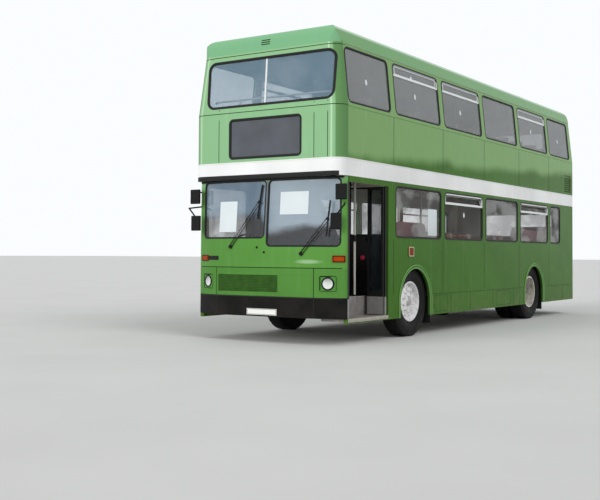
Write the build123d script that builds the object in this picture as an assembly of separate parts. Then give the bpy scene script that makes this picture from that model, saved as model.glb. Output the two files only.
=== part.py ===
from build123d import *
from math import atan2, cos, hypot, pi, radians, sin
import os

os.makedirs("parts", exist_ok=True)

# A two-axle, rear-engined double deck bus with its entrance beside the driver, on the left.
# Millimetres. +X is forwards, +Y is the left (kerb) side and +Z is up. The origin is on the
# ground, midway along the body and midway across it.

# Whole body
wheelbase = 5050.0
front_overhang = 2175.0
rear_overhang = 2465.0
length = wheelbase + front_overhang + rear_overhang
width = 2500.0
band_bottom = 2260.0        # lower edge of the white band between the decks
upper_height = 2130.0       # from there to the top of the roof
height = band_bottom + upper_height
half_length = length / 2
half_width = width / 2
wall = 45.0                 # pressed panel, pillar and lining together
seat_gap = 0.3              # between two pieces of the body that seat on each other
skirt_z = 300.0             # lower edge of the side panels
end_reach = 24.0            # wiper caps in front, bonnet handle behind

# Wheels and axles
front_axle_x = half_length - front_overhang
rear_axle_x = front_axle_x - wheelbase
tyre_radius = 520.0
tyre_width = 280.0
tread_width = 210.0
rim_flange_radius = 298.0
rim_barrel_radius = 284.0
rim_width = 220.0
front_wheel_y = 1045.0      # middle plane of a steered wheel
outer_twin_y = 1040.0       # middle plane of the outer tyre of a rear pair
inner_twin_y = 720.0
kingpin_y = 900.0
kingpin_radius = 25.0
stub_radius = 40.0
running_gap = 0.05          # radial, pin or shaft in its bore
arch_radius = 500.0
arch_lip = 52.0             # width of the raised lip round an arch
lip_proud = 6.0

# White band between the decks
band_height = 240.0
band_top = band_bottom + band_height

# Lower deck
front_flat = 820.0          # half width of the flat middle of the front
corner_sweep = 170.0        # how far the front corners are swept back at the sides
corner_round = 70.0
screen_round = 1200.0       # bend between the flat front and its swept corners
screen_rake = 70.0          # how far the windscreen leans back between its foot and the band
screen_foot_z = 1300.0
rear_round = 150.0
lower_sill = 1470.0
lower_head = band_bottom - 60
window_round = 75.0
step_z = 360.0              # tread of the entrance step
floor_z = 620.0
floor_thick = 40.0
step_edge_y = 900.0         # edge of the platform floor, above the step
raised_floor_z = 850.0      # floor over the rear axle
raised_floor_x = rear_axle_x + 730
well_front_x = half_length - 155
engine_wall_x = 915 - half_length
engine_deck_z = 1450.0
wheel_box_y = 540.0         # inner side of the wheel boxes
wheel_box_top = 1100.0
front_box_half = 620.0      # half length of a wheel box, wider where the wheel steers
rear_box_half = 580.0
box_wall = 15.0

# Upper deck
upper_floor_z = band_bottom + 180
under_deck = upper_floor_z - floor_thick - 1
waist_z = band_top + 700    # the sides lean in above this
cove_z = height - 340       # joint between the sides and the roof
side_lean = 86.0
front_lean = 60.0
rear_lean = 20.0
front_round = 190.0
upper_sill = waist_z + 50
upper_head = cove_z - 60

# Entrance door
door_rear_x = front_axle_x + 863
door_front_x = half_length - 193
door_head = band_bottom - 75
leaf_thick = 30.0
leaf_y = 1215.0             # middle plane of the closed leaves
leaf_hinge_in = 42.0        # hinge axis from the edge of the doorway
leaf_heel = 18.0            # a leaf reaches this far past its own hinge axis
leaf_gap = 8.0              # between leaves that meet
fold_offset = 4.0           # fold axis outside the leaf's outer face
leaf_frame = 34.0
leaf_shaft = 12.0

# Hinges of the leaves, lids and doors
hinge_barrel = 4.0
hinge_pin = 2.0
hinge_flap = 40.0
hinge_plate = 3.0

# Glass
glass_thick = 6.0
glass_inset = 12.0          # pane behind the outer face of its wall
hopper_drop = 180.0         # height of an opening vent at the top of a window
hopper_frame = 26.0
hopper_pane_drop = 20.0     # degrees by which an open vent leans inwards


def block(x0, x1, y0, y1, z0, z1):
    """A box between two planes on each axis."""
    return Pos(x0, y0, z0) * Box(x1 - x0, y1 - y0, z1 - z0, align=(Align.MIN, Align.MIN, Align.MIN))


def both_sides(piece):
    """A piece of the left side and its mirror image on the right."""
    return [piece, mirror(piece, about=Plane.XZ)]


def through_side(x0, x1, z0, z1, radius, y0, y1):
    """A rounded block whose outline is seen from the side."""
    middle = Plane(origin=((x0 + x1) / 2, y1, (z0 + z1) / 2), x_dir=(1, 0, 0), z_dir=(0, -1, 0))
    return extrude(middle * RectangleRounded(x1 - x0, z1 - z0, radius), amount=y1 - y0)


def through_front(y0, y1, z0, z1, radius, x0, x1):
    """A rounded block whose outline is seen from the front."""
    middle = Plane(origin=(x0, (y0 + y1) / 2, (z0 + z1) / 2), x_dir=(0, 1, 0), z_dir=(1, 0, 0))
    return extrude(middle * RectangleRounded(y1 - y0, z1 - z0, radius), amount=x1 - x0)


def upright(x, y, z0, z1, radius):
    """An upright round bar."""
    return Pos(x, y, z0) * Cylinder(radius, z1 - z0, align=(Align.CENTER, Align.CENTER, Align.MIN))


def crossways(x, z, y0, y1, radius):
    """A round bar along Y."""
    return Pos(x, y0, z) * Rot(-90, 0, 0) * Cylinder(radius, y1 - y0,
                                                     align=(Align.CENTER, Align.CENTER, Align.MIN))


def bent_bar(points, radius):
    """A round bar through a list of points, with a ball at each end and bend."""
    bar = None
    for start, end in zip(points, points[1:]):
        run = Vector(*end) - Vector(*start)
        piece = Plane(origin=start, z_dir=run) * Cylinder(radius, run.length,
                                                          align=(Align.CENTER, Align.CENTER, Align.MIN))
        bar = piece if bar is None else bar + piece
    for point in points:
        bar += Pos(*point) * Sphere(radius)
    return bar


def turned(profile, y):
    """A profile of (radius, offset along +Y) points, turned about the axle line at x = z = 0."""
    face = make_face(Polyline(*[(r, u, 0) for r, u in profile], close=True))
    return Pos(0, y, 0) * revolve(face, axis=Axis.Y)


def hinges(places, height_step=50.0):
    """Butt hinges on an axis along +Z at the origin, in two halves: the fixed one lies towards -X and the
    moving one towards +X, both on panels whose outer face is fold_offset behind the axis."""
    fixed = None
    moving = None
    for z in places:
        barrel = upright(0, 0, z, z + height_step, hinge_barrel) + block(-hinge_flap, 0, -fold_offset,
                                                                         hinge_plate - fold_offset, z, z + height_step)
        barrel -= upright(0, 0, z - 1, z + height_step + 1, hinge_pin + running_gap)
        z1 = z + height_step + seat_gap
        other = upright(0, 0, z1, z1 + height_step, hinge_barrel) + block(0, hinge_flap, -fold_offset,
                                                                          hinge_plate - fold_offset, z1,
                                                                          z1 + height_step)
        other += upright(0, 0, z, z1 + 1, hinge_pin)
        fixed = barrel if fixed is None else fixed + barrel
        moving = other if moving is None else moving + other
    return fixed, moving


def rounded(outline, radii):
    """A closed outline as a face, each corner with its own radius (0 stays sharp)."""
    face = make_face(Polyline(*outline, close=True))
    for (x, y), radius in zip(outline, radii):
        if radius > 0:
            corner = face.vertices().sort_by_distance((x, y, 0))[0]
            face = fillet(corner, radius)
    return face


def lower_plan(inset, z, rake=0.0):
    """Plan of the lower deck at height z, with its faces moved in by inset."""
    front_x = half_length - rake - inset
    side_y = half_width - inset
    side_x = half_length - corner_sweep
    slope = hypot(corner_sweep - rake, half_width - front_flat)
    across = (half_width - front_flat) / slope
    along = (corner_sweep - rake) / slope
    flat_y = front_flat - inset * (1 - across) / along if along > 0 else front_flat
    corner_x = side_x - inset * (1 - along) / across
    outline = [(front_x, -flat_y), (front_x, flat_y), (corner_x, side_y), (inset - half_length, side_y),
               (inset - half_length, -side_y), (corner_x, -side_y)]
    turn = corner_round - min(inset, corner_round - 5.0)
    bend = screen_round - inset
    radii = [bend, bend, turn, rear_round - inset, rear_round - inset, turn]
    return Pos(0, 0, z) * rounded(outline, radii)


def upper_plan(inset, z, leaned=0.0):
    """Plan of the upper deck at height z; leaned is the share of the lean reached there."""
    front_x = half_length - front_lean * leaned - inset
    rear_x = rear_lean * leaned + inset - half_length
    side_y = half_width - side_lean * leaned - inset
    outline = [(front_x, -side_y), (front_x, side_y), (rear_x, side_y), (rear_x, -side_y)]
    radii = [front_round - inset, front_round - inset, rear_round - inset, rear_round - inset]
    return Pos(0, 0, z) * rounded(outline, radii)


def lower_block(inset, z0, z1):
    """The lower deck as a solid: upright below the windscreen's foot and raked above it."""
    foot = extrude(lower_plan(inset, z0), amount=screen_foot_z - z0)
    head_share = (z1 - screen_foot_z) / (band_bottom - screen_foot_z)
    head = loft([lower_plan(inset, screen_foot_z), lower_plan(inset, z1, screen_rake * head_share)], ruled=True)
    return foot + head


def upper_block(inset, z0, z1):
    """The upper deck as a solid: upright below the waist and leaning in above it."""
    foot = extrude(upper_plan(inset, z0), amount=waist_z - z0)
    head_share = (z1 - waist_z) / (cove_z - waist_z)
    head = loft([upper_plan(inset, waist_z), upper_plan(inset, z1, head_share)], ruled=True)
    return foot + head


def lower_skin(inset, thick):
    """A sheet that follows the lower deck's outer face, inset from it."""
    return lower_block(inset, skirt_z, band_bottom) - lower_block(inset + thick, skirt_z - 1, band_bottom + 1)


def upper_skin(inset, thick):
    """A sheet that follows the upper deck's outer face, inset from it."""
    return upper_block(inset, band_top, cove_z) - upper_block(inset + thick, band_top - 1, cove_z + 1)


# Pillars of the sides, from the one behind the door to the one in front of the last short bay
front_bay = 1469.0
rear_bay = 1621.0
bays = 4
bay_pitch = (length - front_bay - rear_bay) / bays
pillars = [half_length - front_bay - bay_pitch * i for i in range(bays + 1)]
lower_pillar_half = 72.0    # half the space between two windows
upper_pillar_half = 82.0

# Windows of each side: rear edge, front edge, and whether the top is an opening vent
vents = (False, True, False, True)
lower_windows = [(pillars[i + 1] + lower_pillar_half, pillars[i] - lower_pillar_half, vents[i]) for i in range(bays)]
lower_windows.append((955 - half_length, pillars[bays] - lower_pillar_half, False))
vents = (True, True, False, True)
upper_windows = [(pillars[0] + upper_pillar_half, half_length - 205, False)]
upper_windows += [(pillars[i + 1] + upper_pillar_half, pillars[i] - upper_pillar_half, vents[i]) for i in range(bays)]
upper_windows.append((325 - half_length, pillars[bays] - upper_pillar_half, False))
cab_window = (door_rear_x + 27, half_length - 325, False)
cab_window_sill = 1340.0
offside_lower_windows = lower_windows[1:4]
emergency_rear_x = engine_wall_x + 50
emergency_front_x = emergency_rear_x + 620
emergency_sill = 870.0
far = half_width + 100      # beyond any panel of the sides

# Panes of the windscreen: first side edge, second side edge, lower edge
screen_panes = [(-1120, 8, 1440), (57, 1165, 1325)]
screen_head = band_bottom - 25
upper_front_panes = [(-990, -4), (24, 1120)]
upper_front_sill = waist_z + 90
upper_front_head = cove_z - 105
upper_front_round = 110.0
destination_y = (-583, 615)
destination_z = (band_top + 56, waist_z - 105)
destination_round = 50.0

# Openings in the back
bonnet_half = 930.0
bonnet_bottom = 420.0
bonnet_top = 1390.0
rear_window_half = 760.0
rear_window_z = (1600, band_bottom - 140)
rear_exit_half = 640.0
rear_exit_z = (waist_z + 30, cove_z - 90)
lid_gap = 6.0

# Split planes between the front, side and rear panels
lower_split_front = door_front_x
upper_split_front = half_length - front_round
split_rear = rear_round - half_length


def window_cutter(window, z0, z1, y0, y1, shrink=0.0):
    """The hole of one side window, or with shrink its pane."""
    return through_side(window[0] + shrink, window[1] - shrink, z0 + shrink, z1 - shrink,
                        window_round, y0, y1)


def arch_cutter(x, radius, y0, y1):
    """A wheel arch: a half circle about the axle with straight sides down to the skirt."""
    return crossways(x, tyre_radius, y0, y1, radius) + block(x - radius, x + radius, y0, y1, 0, tyre_radius)


def arch_lips(side):
    """The raised lips round both arches of one side, +1 left or -1 right."""
    lips = []
    for axle_x in (front_axle_x, rear_axle_x):
        y0, y1 = sorted((side * (half_width - wall / 2), side * (half_width + lip_proud)))
        lip = arch_cutter(axle_x, arch_radius + arch_lip, y0, y1) - arch_cutter(axle_x, arch_radius, y0, y1)
        lips.append(lip & block(-half_length, half_length, -2 * far, 2 * far, skirt_z, height))
    return lips


def side_wall(skin, side, x0, x1):
    """The stretch of a skin that forms one side between two planes."""
    y0, y1 = sorted((0, side * 2 * far))
    return skin & block(x0, x1, y0, y1, 0, height)


# Lower deck panels
lower_shell = lower_skin(0, wall)

door_rail = side_wall(lower_shell, 1, door_rear_x + seat_gap, lower_split_front)
door_rail &= block(door_rear_x, lower_split_front, 0, far, door_head, band_bottom)
door_sill = side_wall(lower_shell, 1, door_rear_x + seat_gap, lower_split_front)
door_sill &= block(door_rear_x, lower_split_front, 0, far, skirt_z, step_z)
nearside = side_wall(lower_shell, 1, split_rear, door_rear_x)
for window in lower_windows:
    nearside -= window_cutter(window, lower_sill, lower_head, 0, far)
for axle_x in (front_axle_x, rear_axle_x):
    nearside -= arch_cutter(axle_x, arch_radius, 0, far)
for lip in arch_lips(1):
    nearside += lip

offside = side_wall(lower_shell, -1, split_rear, lower_split_front)
for window in offside_lower_windows:
    offside -= window_cutter(window, lower_sill, lower_head, -far, 0)
offside -= window_cutter(cab_window, cab_window_sill, lower_head, -far, 0)
offside -= block(emergency_rear_x, emergency_front_x, -far, 0, emergency_sill, door_head)
for axle_x in (front_axle_x, rear_axle_x):
    offside -= arch_cutter(axle_x, arch_radius, -far, 0)
for lip in arch_lips(-1):
    offside += lip

# Front panel, from the bumper to the windscreen and up its corner posts
bumper_bottom = 359.0
bumper_top = 638.0
grille_y = (-780, 262)
grille_z = (683, 938)
lamp_y = 1010.0
lamp_z = 825.0
lamp_radius = 85.0
front_x1 = half_length + 50
front_half = lower_shell & block(lower_split_front, front_x1, -far, far, bumper_top + seat_gap, band_bottom)
for y0, y1, z0 in screen_panes:
    front_half -= through_front(y0, y1, z0, screen_head, 60, 4000, front_x1)
front_half -= block(half_length - wall / 2, front_x1, grille_y[0], grille_y[1], grille_z[0], grille_z[1])
lamp_pocket = {}
for side in (1, -1):
    bore = Plane(origin=(half_length - 130, side * lamp_y, lamp_z), z_dir=(1, 0, 0)) * Circle(lamp_radius + seat_gap)
    lamp_pocket[side] = extrude(bore, amount=200)
    front_half -= lamp_pocket[side]

bumper = (extrude(lower_plan(0, bumper_bottom), amount=bumper_top - bumper_bottom)
          - extrude(lower_plan(wall, bumper_bottom - 1), amount=bumper_top - bumper_bottom + 2))
bumper &= block(lower_split_front, front_x1, -far, far, 0, height)

slat_pitch = 21.0
slat_height = 8.0
grille = block(half_length - wall / 2 + seat_gap, half_length - wall / 2 + 5, grille_y[0] + seat_gap,
               grille_y[1] - seat_gap, grille_z[0] + seat_gap, grille_z[1] - seat_gap)
slat_z = grille_z[0] + slat_pitch / 2
while slat_z + slat_height < grille_z[1]:
    grille += block(half_length - wall / 2 + 4, half_length - 3, grille_y[0] + seat_gap, grille_y[1] - seat_gap,
                    slat_z, slat_z + slat_height)
    slat_z += slat_pitch

lamps = []
for side in (1, -1):
    lens = Plane(origin=(half_length - 120, side * lamp_y, lamp_z), z_dir=(1, 0, 0)) * Circle(lamp_radius)
    lamp = extrude(lens, amount=120 - 20) & extrude(lower_plan(4, lamp_z - 200), amount=400)
    lamps.append(lamp)

# Back panel of the lower deck, round the engine's cover and under the rear window
back = lower_shell & block(-front_x1, split_rear, -far, far, 0, height)
back -= block(-front_x1, split_rear, -bonnet_half, bonnet_half, bonnet_bottom, bonnet_top)
back -= through_front(-rear_window_half, rear_window_half, rear_window_z[0], rear_window_z[1], 60,
                      -front_x1, split_rear)
bonnet = block(-half_length, wall - half_length, lid_gap - bonnet_half, bonnet_half - lid_gap,
               bonnet_bottom + lid_gap, bonnet_top - lid_gap)

handle = block(-half_length - end_reach, -half_length - end_reach + 10, -120, 120, bonnet_bottom + 90,
               bonnet_bottom + 115)
for y in (-120, 100):
    handle += block(-half_length - end_reach, 5 - half_length, y, y + 20, bonnet_bottom + 90, bonnet_bottom + 115)
bonnet += handle
bonnet_hinge = Plane(origin=(-half_length - fold_offset, 0, bonnet_top - lid_gap / 2), x_dir=(0, 0, -1),
                     z_dir=(0, 1, 0))
fixed, moving = [bonnet_hinge * half for half in hinges((-700, -50, 600))]
back += fixed
bonnet += moving

# White band
band = extrude(upper_plan(0, band_bottom + seat_gap), amount=band_top - band_bottom - 2 * seat_gap)
band -= extrude(upper_plan(wall, band_bottom - 1), amount=band_top - band_bottom + 2)
band_lengths = [band & block(upper_split_front + seat_gap, 2 * half_length, -far, far, 0, height),
                band & block(-2 * half_length, split_rear - seat_gap, -far, far, 0, height),
                side_wall(band, 1, split_rear, upper_split_front), side_wall(band, -1, split_rear, upper_split_front)]

# Upper deck panels
upper_shell = upper_skin(0, wall)
upper_sides = {}
for side in (1, -1):
    panel = side_wall(upper_shell, side, split_rear, upper_split_front)
    for window in upper_windows:
        y0, y1 = sorted((0, side * far))
        panel -= window_cutter(window, upper_sill, upper_head, y0, y1)
    upper_sides[side] = panel
louvre_x = (205 - half_length, 660 - half_length)
louvre_z = (band_top + 50, band_top + 400)
louvre_pitch = 44.0
slat = Pos(0, half_width, 0) * Rot(35, 0, 0) * Box(louvre_x[1] - louvre_x[0], 30, 5)
louvres = [Pos((louvre_x[0] + louvre_x[1]) / 2, -4, louvre_z[0] + louvre_pitch * (i + 0.5)) * slat
           for i in range(int((louvre_z[1] - louvre_z[0]) / louvre_pitch))]
pocket = block(louvre_x[0], louvre_x[1], half_width - 25, far, louvre_z[0], louvre_z[1])
upper_sides[1] -= pocket
for blade in louvres:
    upper_sides[1] += blade & pocket & block(-half_length, half_length, 0, half_width, 0, height)

upper_front = upper_shell & block(upper_split_front, front_x1, -far, far, 0, height)
upper_front -= through_front(upper_front_panes[0][0], upper_front_panes[1][1], upper_front_sill,
                             upper_front_head, upper_front_round, 4000, front_x1)
upper_front -= through_front(destination_y[0], destination_y[1], destination_z[0], destination_z[1],
                             destination_round, 4000, front_x1)
upper_rear = upper_shell & block(-front_x1, split_rear, -far, far, 0, height)
upper_rear -= block(-front_x1, split_rear, -rear_exit_half, rear_exit_half, rear_exit_z[0], rear_exit_z[1])

# Roof: a cambered panel with rounded coves at the sides and a dome at each end
roof_drop = 100.0           # camber between the middle and the cove
cove_y = 1060.0
cove_round = 150.0
dome_x = half_length - 105
dome_z = height - 100
dome_round = 170.0
dome_end = half_length - 695    # the roof runs level between the two domes' ends
dome_blend = 1500.0
roof_thick = 40.0


def roof_block(inset):
    """The roof as a solid, from just below its joint with the sides, with its faces moved in by inset."""
    foot = cove_z - 50
    top = height - inset
    eave = top - roof_drop
    side_y = half_width - side_lean - inset
    turn_y = cove_y - inset * 0.6
    front_x = half_length - front_lean - inset
    rear_x = rear_lean + inset - half_length
    across = Polyline((-turn_y, eave), (-side_y, cove_z), (-side_y, foot), (side_y, foot), (side_y, cove_z),
                      (turn_y, eave))
    across += ThreePointArc((turn_y, eave), (0, top), (-turn_y, eave))
    section = make_face(across)
    for y, z in ((-turn_y, eave), (turn_y, eave)):
        section = fillet(section.vertices().sort_by_distance((y, z, 0))[0], cove_round)
    ahead = Plane(origin=(-half_length, 0, 0), x_dir=(0, 1, 0), z_dir=(1, 0, 0))
    outline = [(rear_x, foot), (front_x, foot), (front_x, cove_z), (dome_x - inset, dome_z - inset),
               (dome_end, top), (-dome_end, top), (inset - dome_x - 40, dome_z - inset), (rear_x, cove_z)]
    lengthways = rounded(outline, [0, 0, 0, dome_round, dome_blend, dome_blend, dome_round, 0])
    beside = Plane(origin=(0, half_width, 0), x_dir=(1, 0, 0), z_dir=(0, -1, 0))
    body = extrude(ahead * section, amount=length) & extrude(beside * lengthways, amount=width)
    return body & extrude(upper_plan(inset, foot, 1.0), amount=height - foot)


roof = (roof_block(0) - roof_block(roof_thick)) & block(-half_length, half_length, -half_width, half_width,
                                                         cove_z + seat_gap, height)

# Floors: plates that seat on the chassis and meet at the wheel boxes
floor_inset = wall + seat_gap
inner_y = half_width - floor_inset
front_box_x = (front_axle_x - front_box_half, front_axle_x + front_box_half)
rear_box_x = (rear_axle_x - rear_box_half, rear_axle_x + rear_box_half)
box_side_y = wheel_box_y - seat_gap
floor_plan = extrude(lower_plan(floor_inset, floor_z - floor_thick), amount=floor_thick)
lower_floor = []
for x0, x1, y0, y1 in ((raised_floor_x + seat_gap, front_box_x[0] - seat_gap, -far, far),
                       (front_box_x[0], front_box_x[1], -box_side_y, box_side_y),
                       (front_box_x[1] + seat_gap, door_rear_x - floor_thick - seat_gap, -far, far),
                       (door_rear_x - floor_thick, half_length, -far, step_edge_y - floor_thick - seat_gap),
                       (well_front_x + seat_gap, half_length, step_edge_y - floor_thick, far)):
    lower_floor.append(floor_plan & block(x0, x1, y0, y1, 0, height))

# Step well inside the doorway: tread, riser and two end plates, all up to the floor
tread_plan = extrude(lower_plan(floor_inset, step_z - floor_thick), amount=floor_thick)
well_ends = extrude(lower_plan(floor_inset, step_z + seat_gap), amount=floor_z - step_z - seat_gap)
well_y = step_edge_y + seat_gap
entrance_step = [tread_plan & block(door_rear_x - floor_thick, well_front_x, step_edge_y - floor_thick, far, 0, height),
                 block(door_rear_x - floor_thick, well_front_x, step_edge_y - floor_thick, step_edge_y,
                       step_z + seat_gap, floor_z),
                 well_ends & block(door_rear_x - floor_thick, door_rear_x, well_y, far, 0, height),
                 well_ends & block(well_front_x - floor_thick, well_front_x, well_y, far, 0, height)]

# Raised floor over the rear axle, with its riser, and the engine's bulkhead and deck
raised_z = raised_floor_z - floor_thick
bulkhead_x = engine_wall_x - floor_thick
rear_floor = [block(raised_floor_x - floor_thick, raised_floor_x, -inner_y, inner_y, floor_z - floor_thick,
                    raised_floor_z),
              block(rear_box_x[1] + seat_gap, raised_floor_x - floor_thick - seat_gap, -inner_y, inner_y, raised_z,
                    raised_floor_z),
              block(rear_box_x[0], rear_box_x[1], -box_side_y, box_side_y, raised_z, raised_floor_z),
              block(engine_wall_x + seat_gap, rear_box_x[0] - seat_gap, -inner_y, inner_y, raised_z, raised_floor_z),
              block(bulkhead_x, engine_wall_x, -inner_y, inner_y, raised_z, engine_deck_z)]
engine_deck = extrude(lower_plan(floor_inset, engine_deck_z - floor_thick), amount=floor_thick)
rear_floor.append(engine_deck & block(-half_length, bulkhead_x - seat_gap, -far, far, 0, height))

# Wheel boxes, open below and towards the arches
wheel_boxes = []
for box_x, floor_level in ((front_box_x, floor_z), (rear_box_x, raised_floor_z)):
    outer = block(box_x[0], box_x[1], wheel_box_y, inner_y, floor_level - floor_thick, wheel_box_top)
    inner = block(box_x[0] + box_wall, box_x[1] - box_wall, wheel_box_y + box_wall, inner_y + 1,
                  floor_level - floor_thick - 1, wheel_box_top - box_wall)
    wheel_boxes += both_sides(outer - inner)

cab_rear_x = door_rear_x - 113
stair_x = (cab_rear_x - 1780, cab_rear_x - 20)
stair_y = (-1195.0, -600.0)
stair_risers = 8
upper_floor = extrude(upper_plan(floor_inset, upper_floor_z - floor_thick), amount=floor_thick)
upper_floor -= block(stair_x[0] + 400, stair_x[1], stair_y[0] - 20, stair_y[1] + 10, 0, height)

rise = (upper_floor_z - floor_z) / stair_risers
going = 190.0
tread_thick = 35.0
stairs = None
for i in range(1, stair_risers):
    tread_x = stair_x[0] + going * (i - 1)
    tread_z = floor_z + rise * i
    tread = block(tread_x, tread_x + going + 20, stair_y[0], stair_y[1], tread_z - tread_thick, tread_z)
    riser = block(tread_x, tread_x + 20, stair_y[0], stair_y[1], tread_z - rise, tread_z)
    stairs = tread + riser if stairs is None else stairs + tread + riser
stair_side = Polyline((stair_x[0], floor_z), (stair_x[0] + 400, wheel_box_top + 60),
                      (stair_x[1] - 300, under_deck - 99), (stair_x[1] - 300, under_deck),
                      (stair_x[1] - 700, under_deck), (stair_x[0], floor_z + 700), close=True)
panel_plane = Plane(origin=(0, stair_y[1], 0), x_dir=(1, 0, 0), z_dir=(0, -1, 0))
stairs += extrude(panel_plane * make_face(stair_side), amount=25)

# Seats: outlines in (forwards, up) from the middle of the seat at floor level
cushion_outline = [(-150, 0), (120, 0), (120, 330), (230, 330), (230, 440), (-120, 440), (-150, 330)]
back_outline = [(-120 - seat_gap, 440), (-230, 960), (-300, 960), (-210, 330), (-150 - seat_gap, 330)]
side_cushion_outline = [(-235, 0), (220, 0), (220, 120), (-235, 120)]
side_back_outline = [(-235 - seat_gap, 0), (-235 - seat_gap, 620), (-300, 620), (-300, 0)]


def bench(x, y0, y1, z):
    """A forward-facing seat between two planes across the bus: its cushion on a pedestal, and its back."""
    plane = Plane(origin=(x, y1, z), x_dir=(1, 0, 0), z_dir=(0, -1, 0))
    return [extrude(plane * make_face(Polyline(*outline, close=True)), amount=y1 - y0)
            for outline in (cushion_outline, back_outline)]


def side_bench(x0, x1, side, z):
    """A seat along the side of the bus, over a wheel box, facing the gangway."""
    y = side * (inner_y - 330)
    if side > 0:
        plane = Plane(origin=(x1, y, z), x_dir=(0, -1, 0), z_dir=(-1, 0, 0))
    else:
        plane = Plane(origin=(x0, y, z), x_dir=(0, 1, 0), z_dir=(1, 0, 0))
    return [extrude(plane * make_face(Polyline(*outline, close=True)), amount=x1 - x0)
            for outline in (side_cushion_outline, side_back_outline)]


def spaced(first, last, least):
    """Even places from first back to last, no closer than least."""
    count = int((first - last) / least)
    return [first + (last - first) * i / count for i in range(count + 1)]


least_pitch = 690.0
seat_back = 300.0           # how far a seat reaches behind its middle
seat_side = 320.0           # edge of the seats along the gangway
seat_clear = 5.0            # between a seat and the wall
lower_seat_x = spaced(front_axle_x - 1130, rear_axle_x + 1050, least_pitch)
lower_seats = []
for x in lower_seat_x:
    lower_seats += bench(x, seat_side, inner_y - seat_clear, floor_z)
for x in lower_seat_x[1:]:
    lower_seats += bench(x, seat_clear - inner_y, -seat_side, floor_z)
lower_seats += bench(engine_wall_x + 630, seat_side, inner_y - seat_clear, raised_floor_z)
side_seat_half = 520.0
for side in (1, -1):
    lower_seats += side_bench(rear_axle_x - side_seat_half, rear_axle_x + side_seat_half, side, wheel_box_top)
lower_seats += side_bench(front_axle_x - side_seat_half, front_axle_x + side_seat_half, 1, wheel_box_top)
driver_x = cab_rear_x + 365
driver_y = -640.0
driver_half = 240.0
cab_floor_z = floor_z + 160
lower_seats += bench(driver_x, driver_y - driver_half, driver_y + driver_half, cab_floor_z)

upper_seat_side = half_width - 85
upper_seat_x = spaced(half_length - 695, 910 - half_length, least_pitch)
upper_seats = []
for x in upper_seat_x:
    upper_seats += bench(x, seat_side, upper_seat_side, upper_floor_z)
    if x > stair_x[1] + seat_back or x < stair_x[0] - seat_back:
        upper_seats += bench(x, -upper_seat_side, -seat_side, upper_floor_z)

# Cab: floor, dashboard with steering column and wheel, and the partition behind the driver
cab_side_y = -150.0
cab_front_x = half_length - 245
cab_panel = 25.0            # thickness of the partition and the cab door
cab_side_in = 40.0          # the cab's floor and dashboard end this far inside its door
dash_x = cab_front_x - 220
dash_z = 1290.0
cab = block(cab_rear_x + 30, cab_front_x, 30 - inner_y, cab_side_y - cab_side_in, floor_z, cab_floor_z)
cab += block(dash_x, cab_front_x, 120 - inner_y, cab_side_y - cab_side_in, floor_z, dash_z)
wheel_tilt = 25.0
steering_radius = 225.0
steering_rim = 14.0
steering_boss = 50.0
column_radius = 32.0
wheel_at = Pos(dash_x - 210, driver_y, dash_z + 110) * Rot(0, -wheel_tilt, 0)
cab += wheel_at * Torus(steering_radius, steering_rim)
cab += wheel_at * Cylinder(steering_boss, 40)
cab += wheel_at * Box(2 * steering_radius, 24, 16)
cab += wheel_at * Cylinder(column_radius, 330, align=(Align.CENTER, Align.CENTER, Align.MAX))
column_box_half = 60.0
cab += block(dash_x - 160, dash_x + 10, driver_y - column_box_half, driver_y + column_box_half,
             cab_floor_z - 10, dash_z - 160)

cab_top = under_deck - 4
cab_door_top = 1480.0
cab_post_x = cab_rear_x + 140
partition = block(cab_rear_x, cab_rear_x + cab_panel, -inner_y, cab_side_y, floor_z, cab_top)
partition -= block(cab_rear_x - 1, cab_rear_x + cab_panel + 1, -1050, cab_side_y - 120, 1500, band_bottom - 10)
partition += block(cab_rear_x, cab_post_x, cab_side_y - cab_panel, cab_side_y, floor_z, cab_top)
cab_door_x = (cab_post_x + lid_gap, cab_front_x - 340)
cab_door = block(cab_door_x[0], cab_door_x[1], cab_side_y - cab_panel, cab_side_y, floor_z + 12, cab_door_top)
cab_hinge = Pos(cab_door_x[0] - lid_gap / 2, cab_side_y + fold_offset, 0)
fixed, moving = [cab_hinge * half for half in hinges((800, 1300))]
partition += fixed
cab_door += moving
partition += block(cab_door_x[1] + lid_gap, cab_front_x, cab_side_y - cab_panel, cab_side_y, floor_z, cab_door_top)

# Grab rails
rail_radius = 17.0
rail_y = seat_side - 40     # the rails at the seats stand this far from the middle
roof_under = height - roof_thick - 40
rails = [upright(door_rear_x + 297, step_edge_y - 30, floor_z, under_deck, rail_radius),
         upright(cab_rear_x + 80, seat_side - 20, floor_z, under_deck, rail_radius),
         upright(front_axle_x - 690, seat_side + 100, floor_z, under_deck, rail_radius),
         upright(stair_x[0], stair_y[1] + 100, floor_z, under_deck, rail_radius)]
for x in (lower_seat_x[1] - 270, lower_seat_x[3] - 312):
    rails.append(upright(x, rail_y, floor_z, under_deck, rail_radius))
    rails.append(upright(x, -rail_y, floor_z, under_deck, rail_radius))
    rails.append(upright(x, rail_y, upper_floor_z, roof_under, rail_radius))

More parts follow.
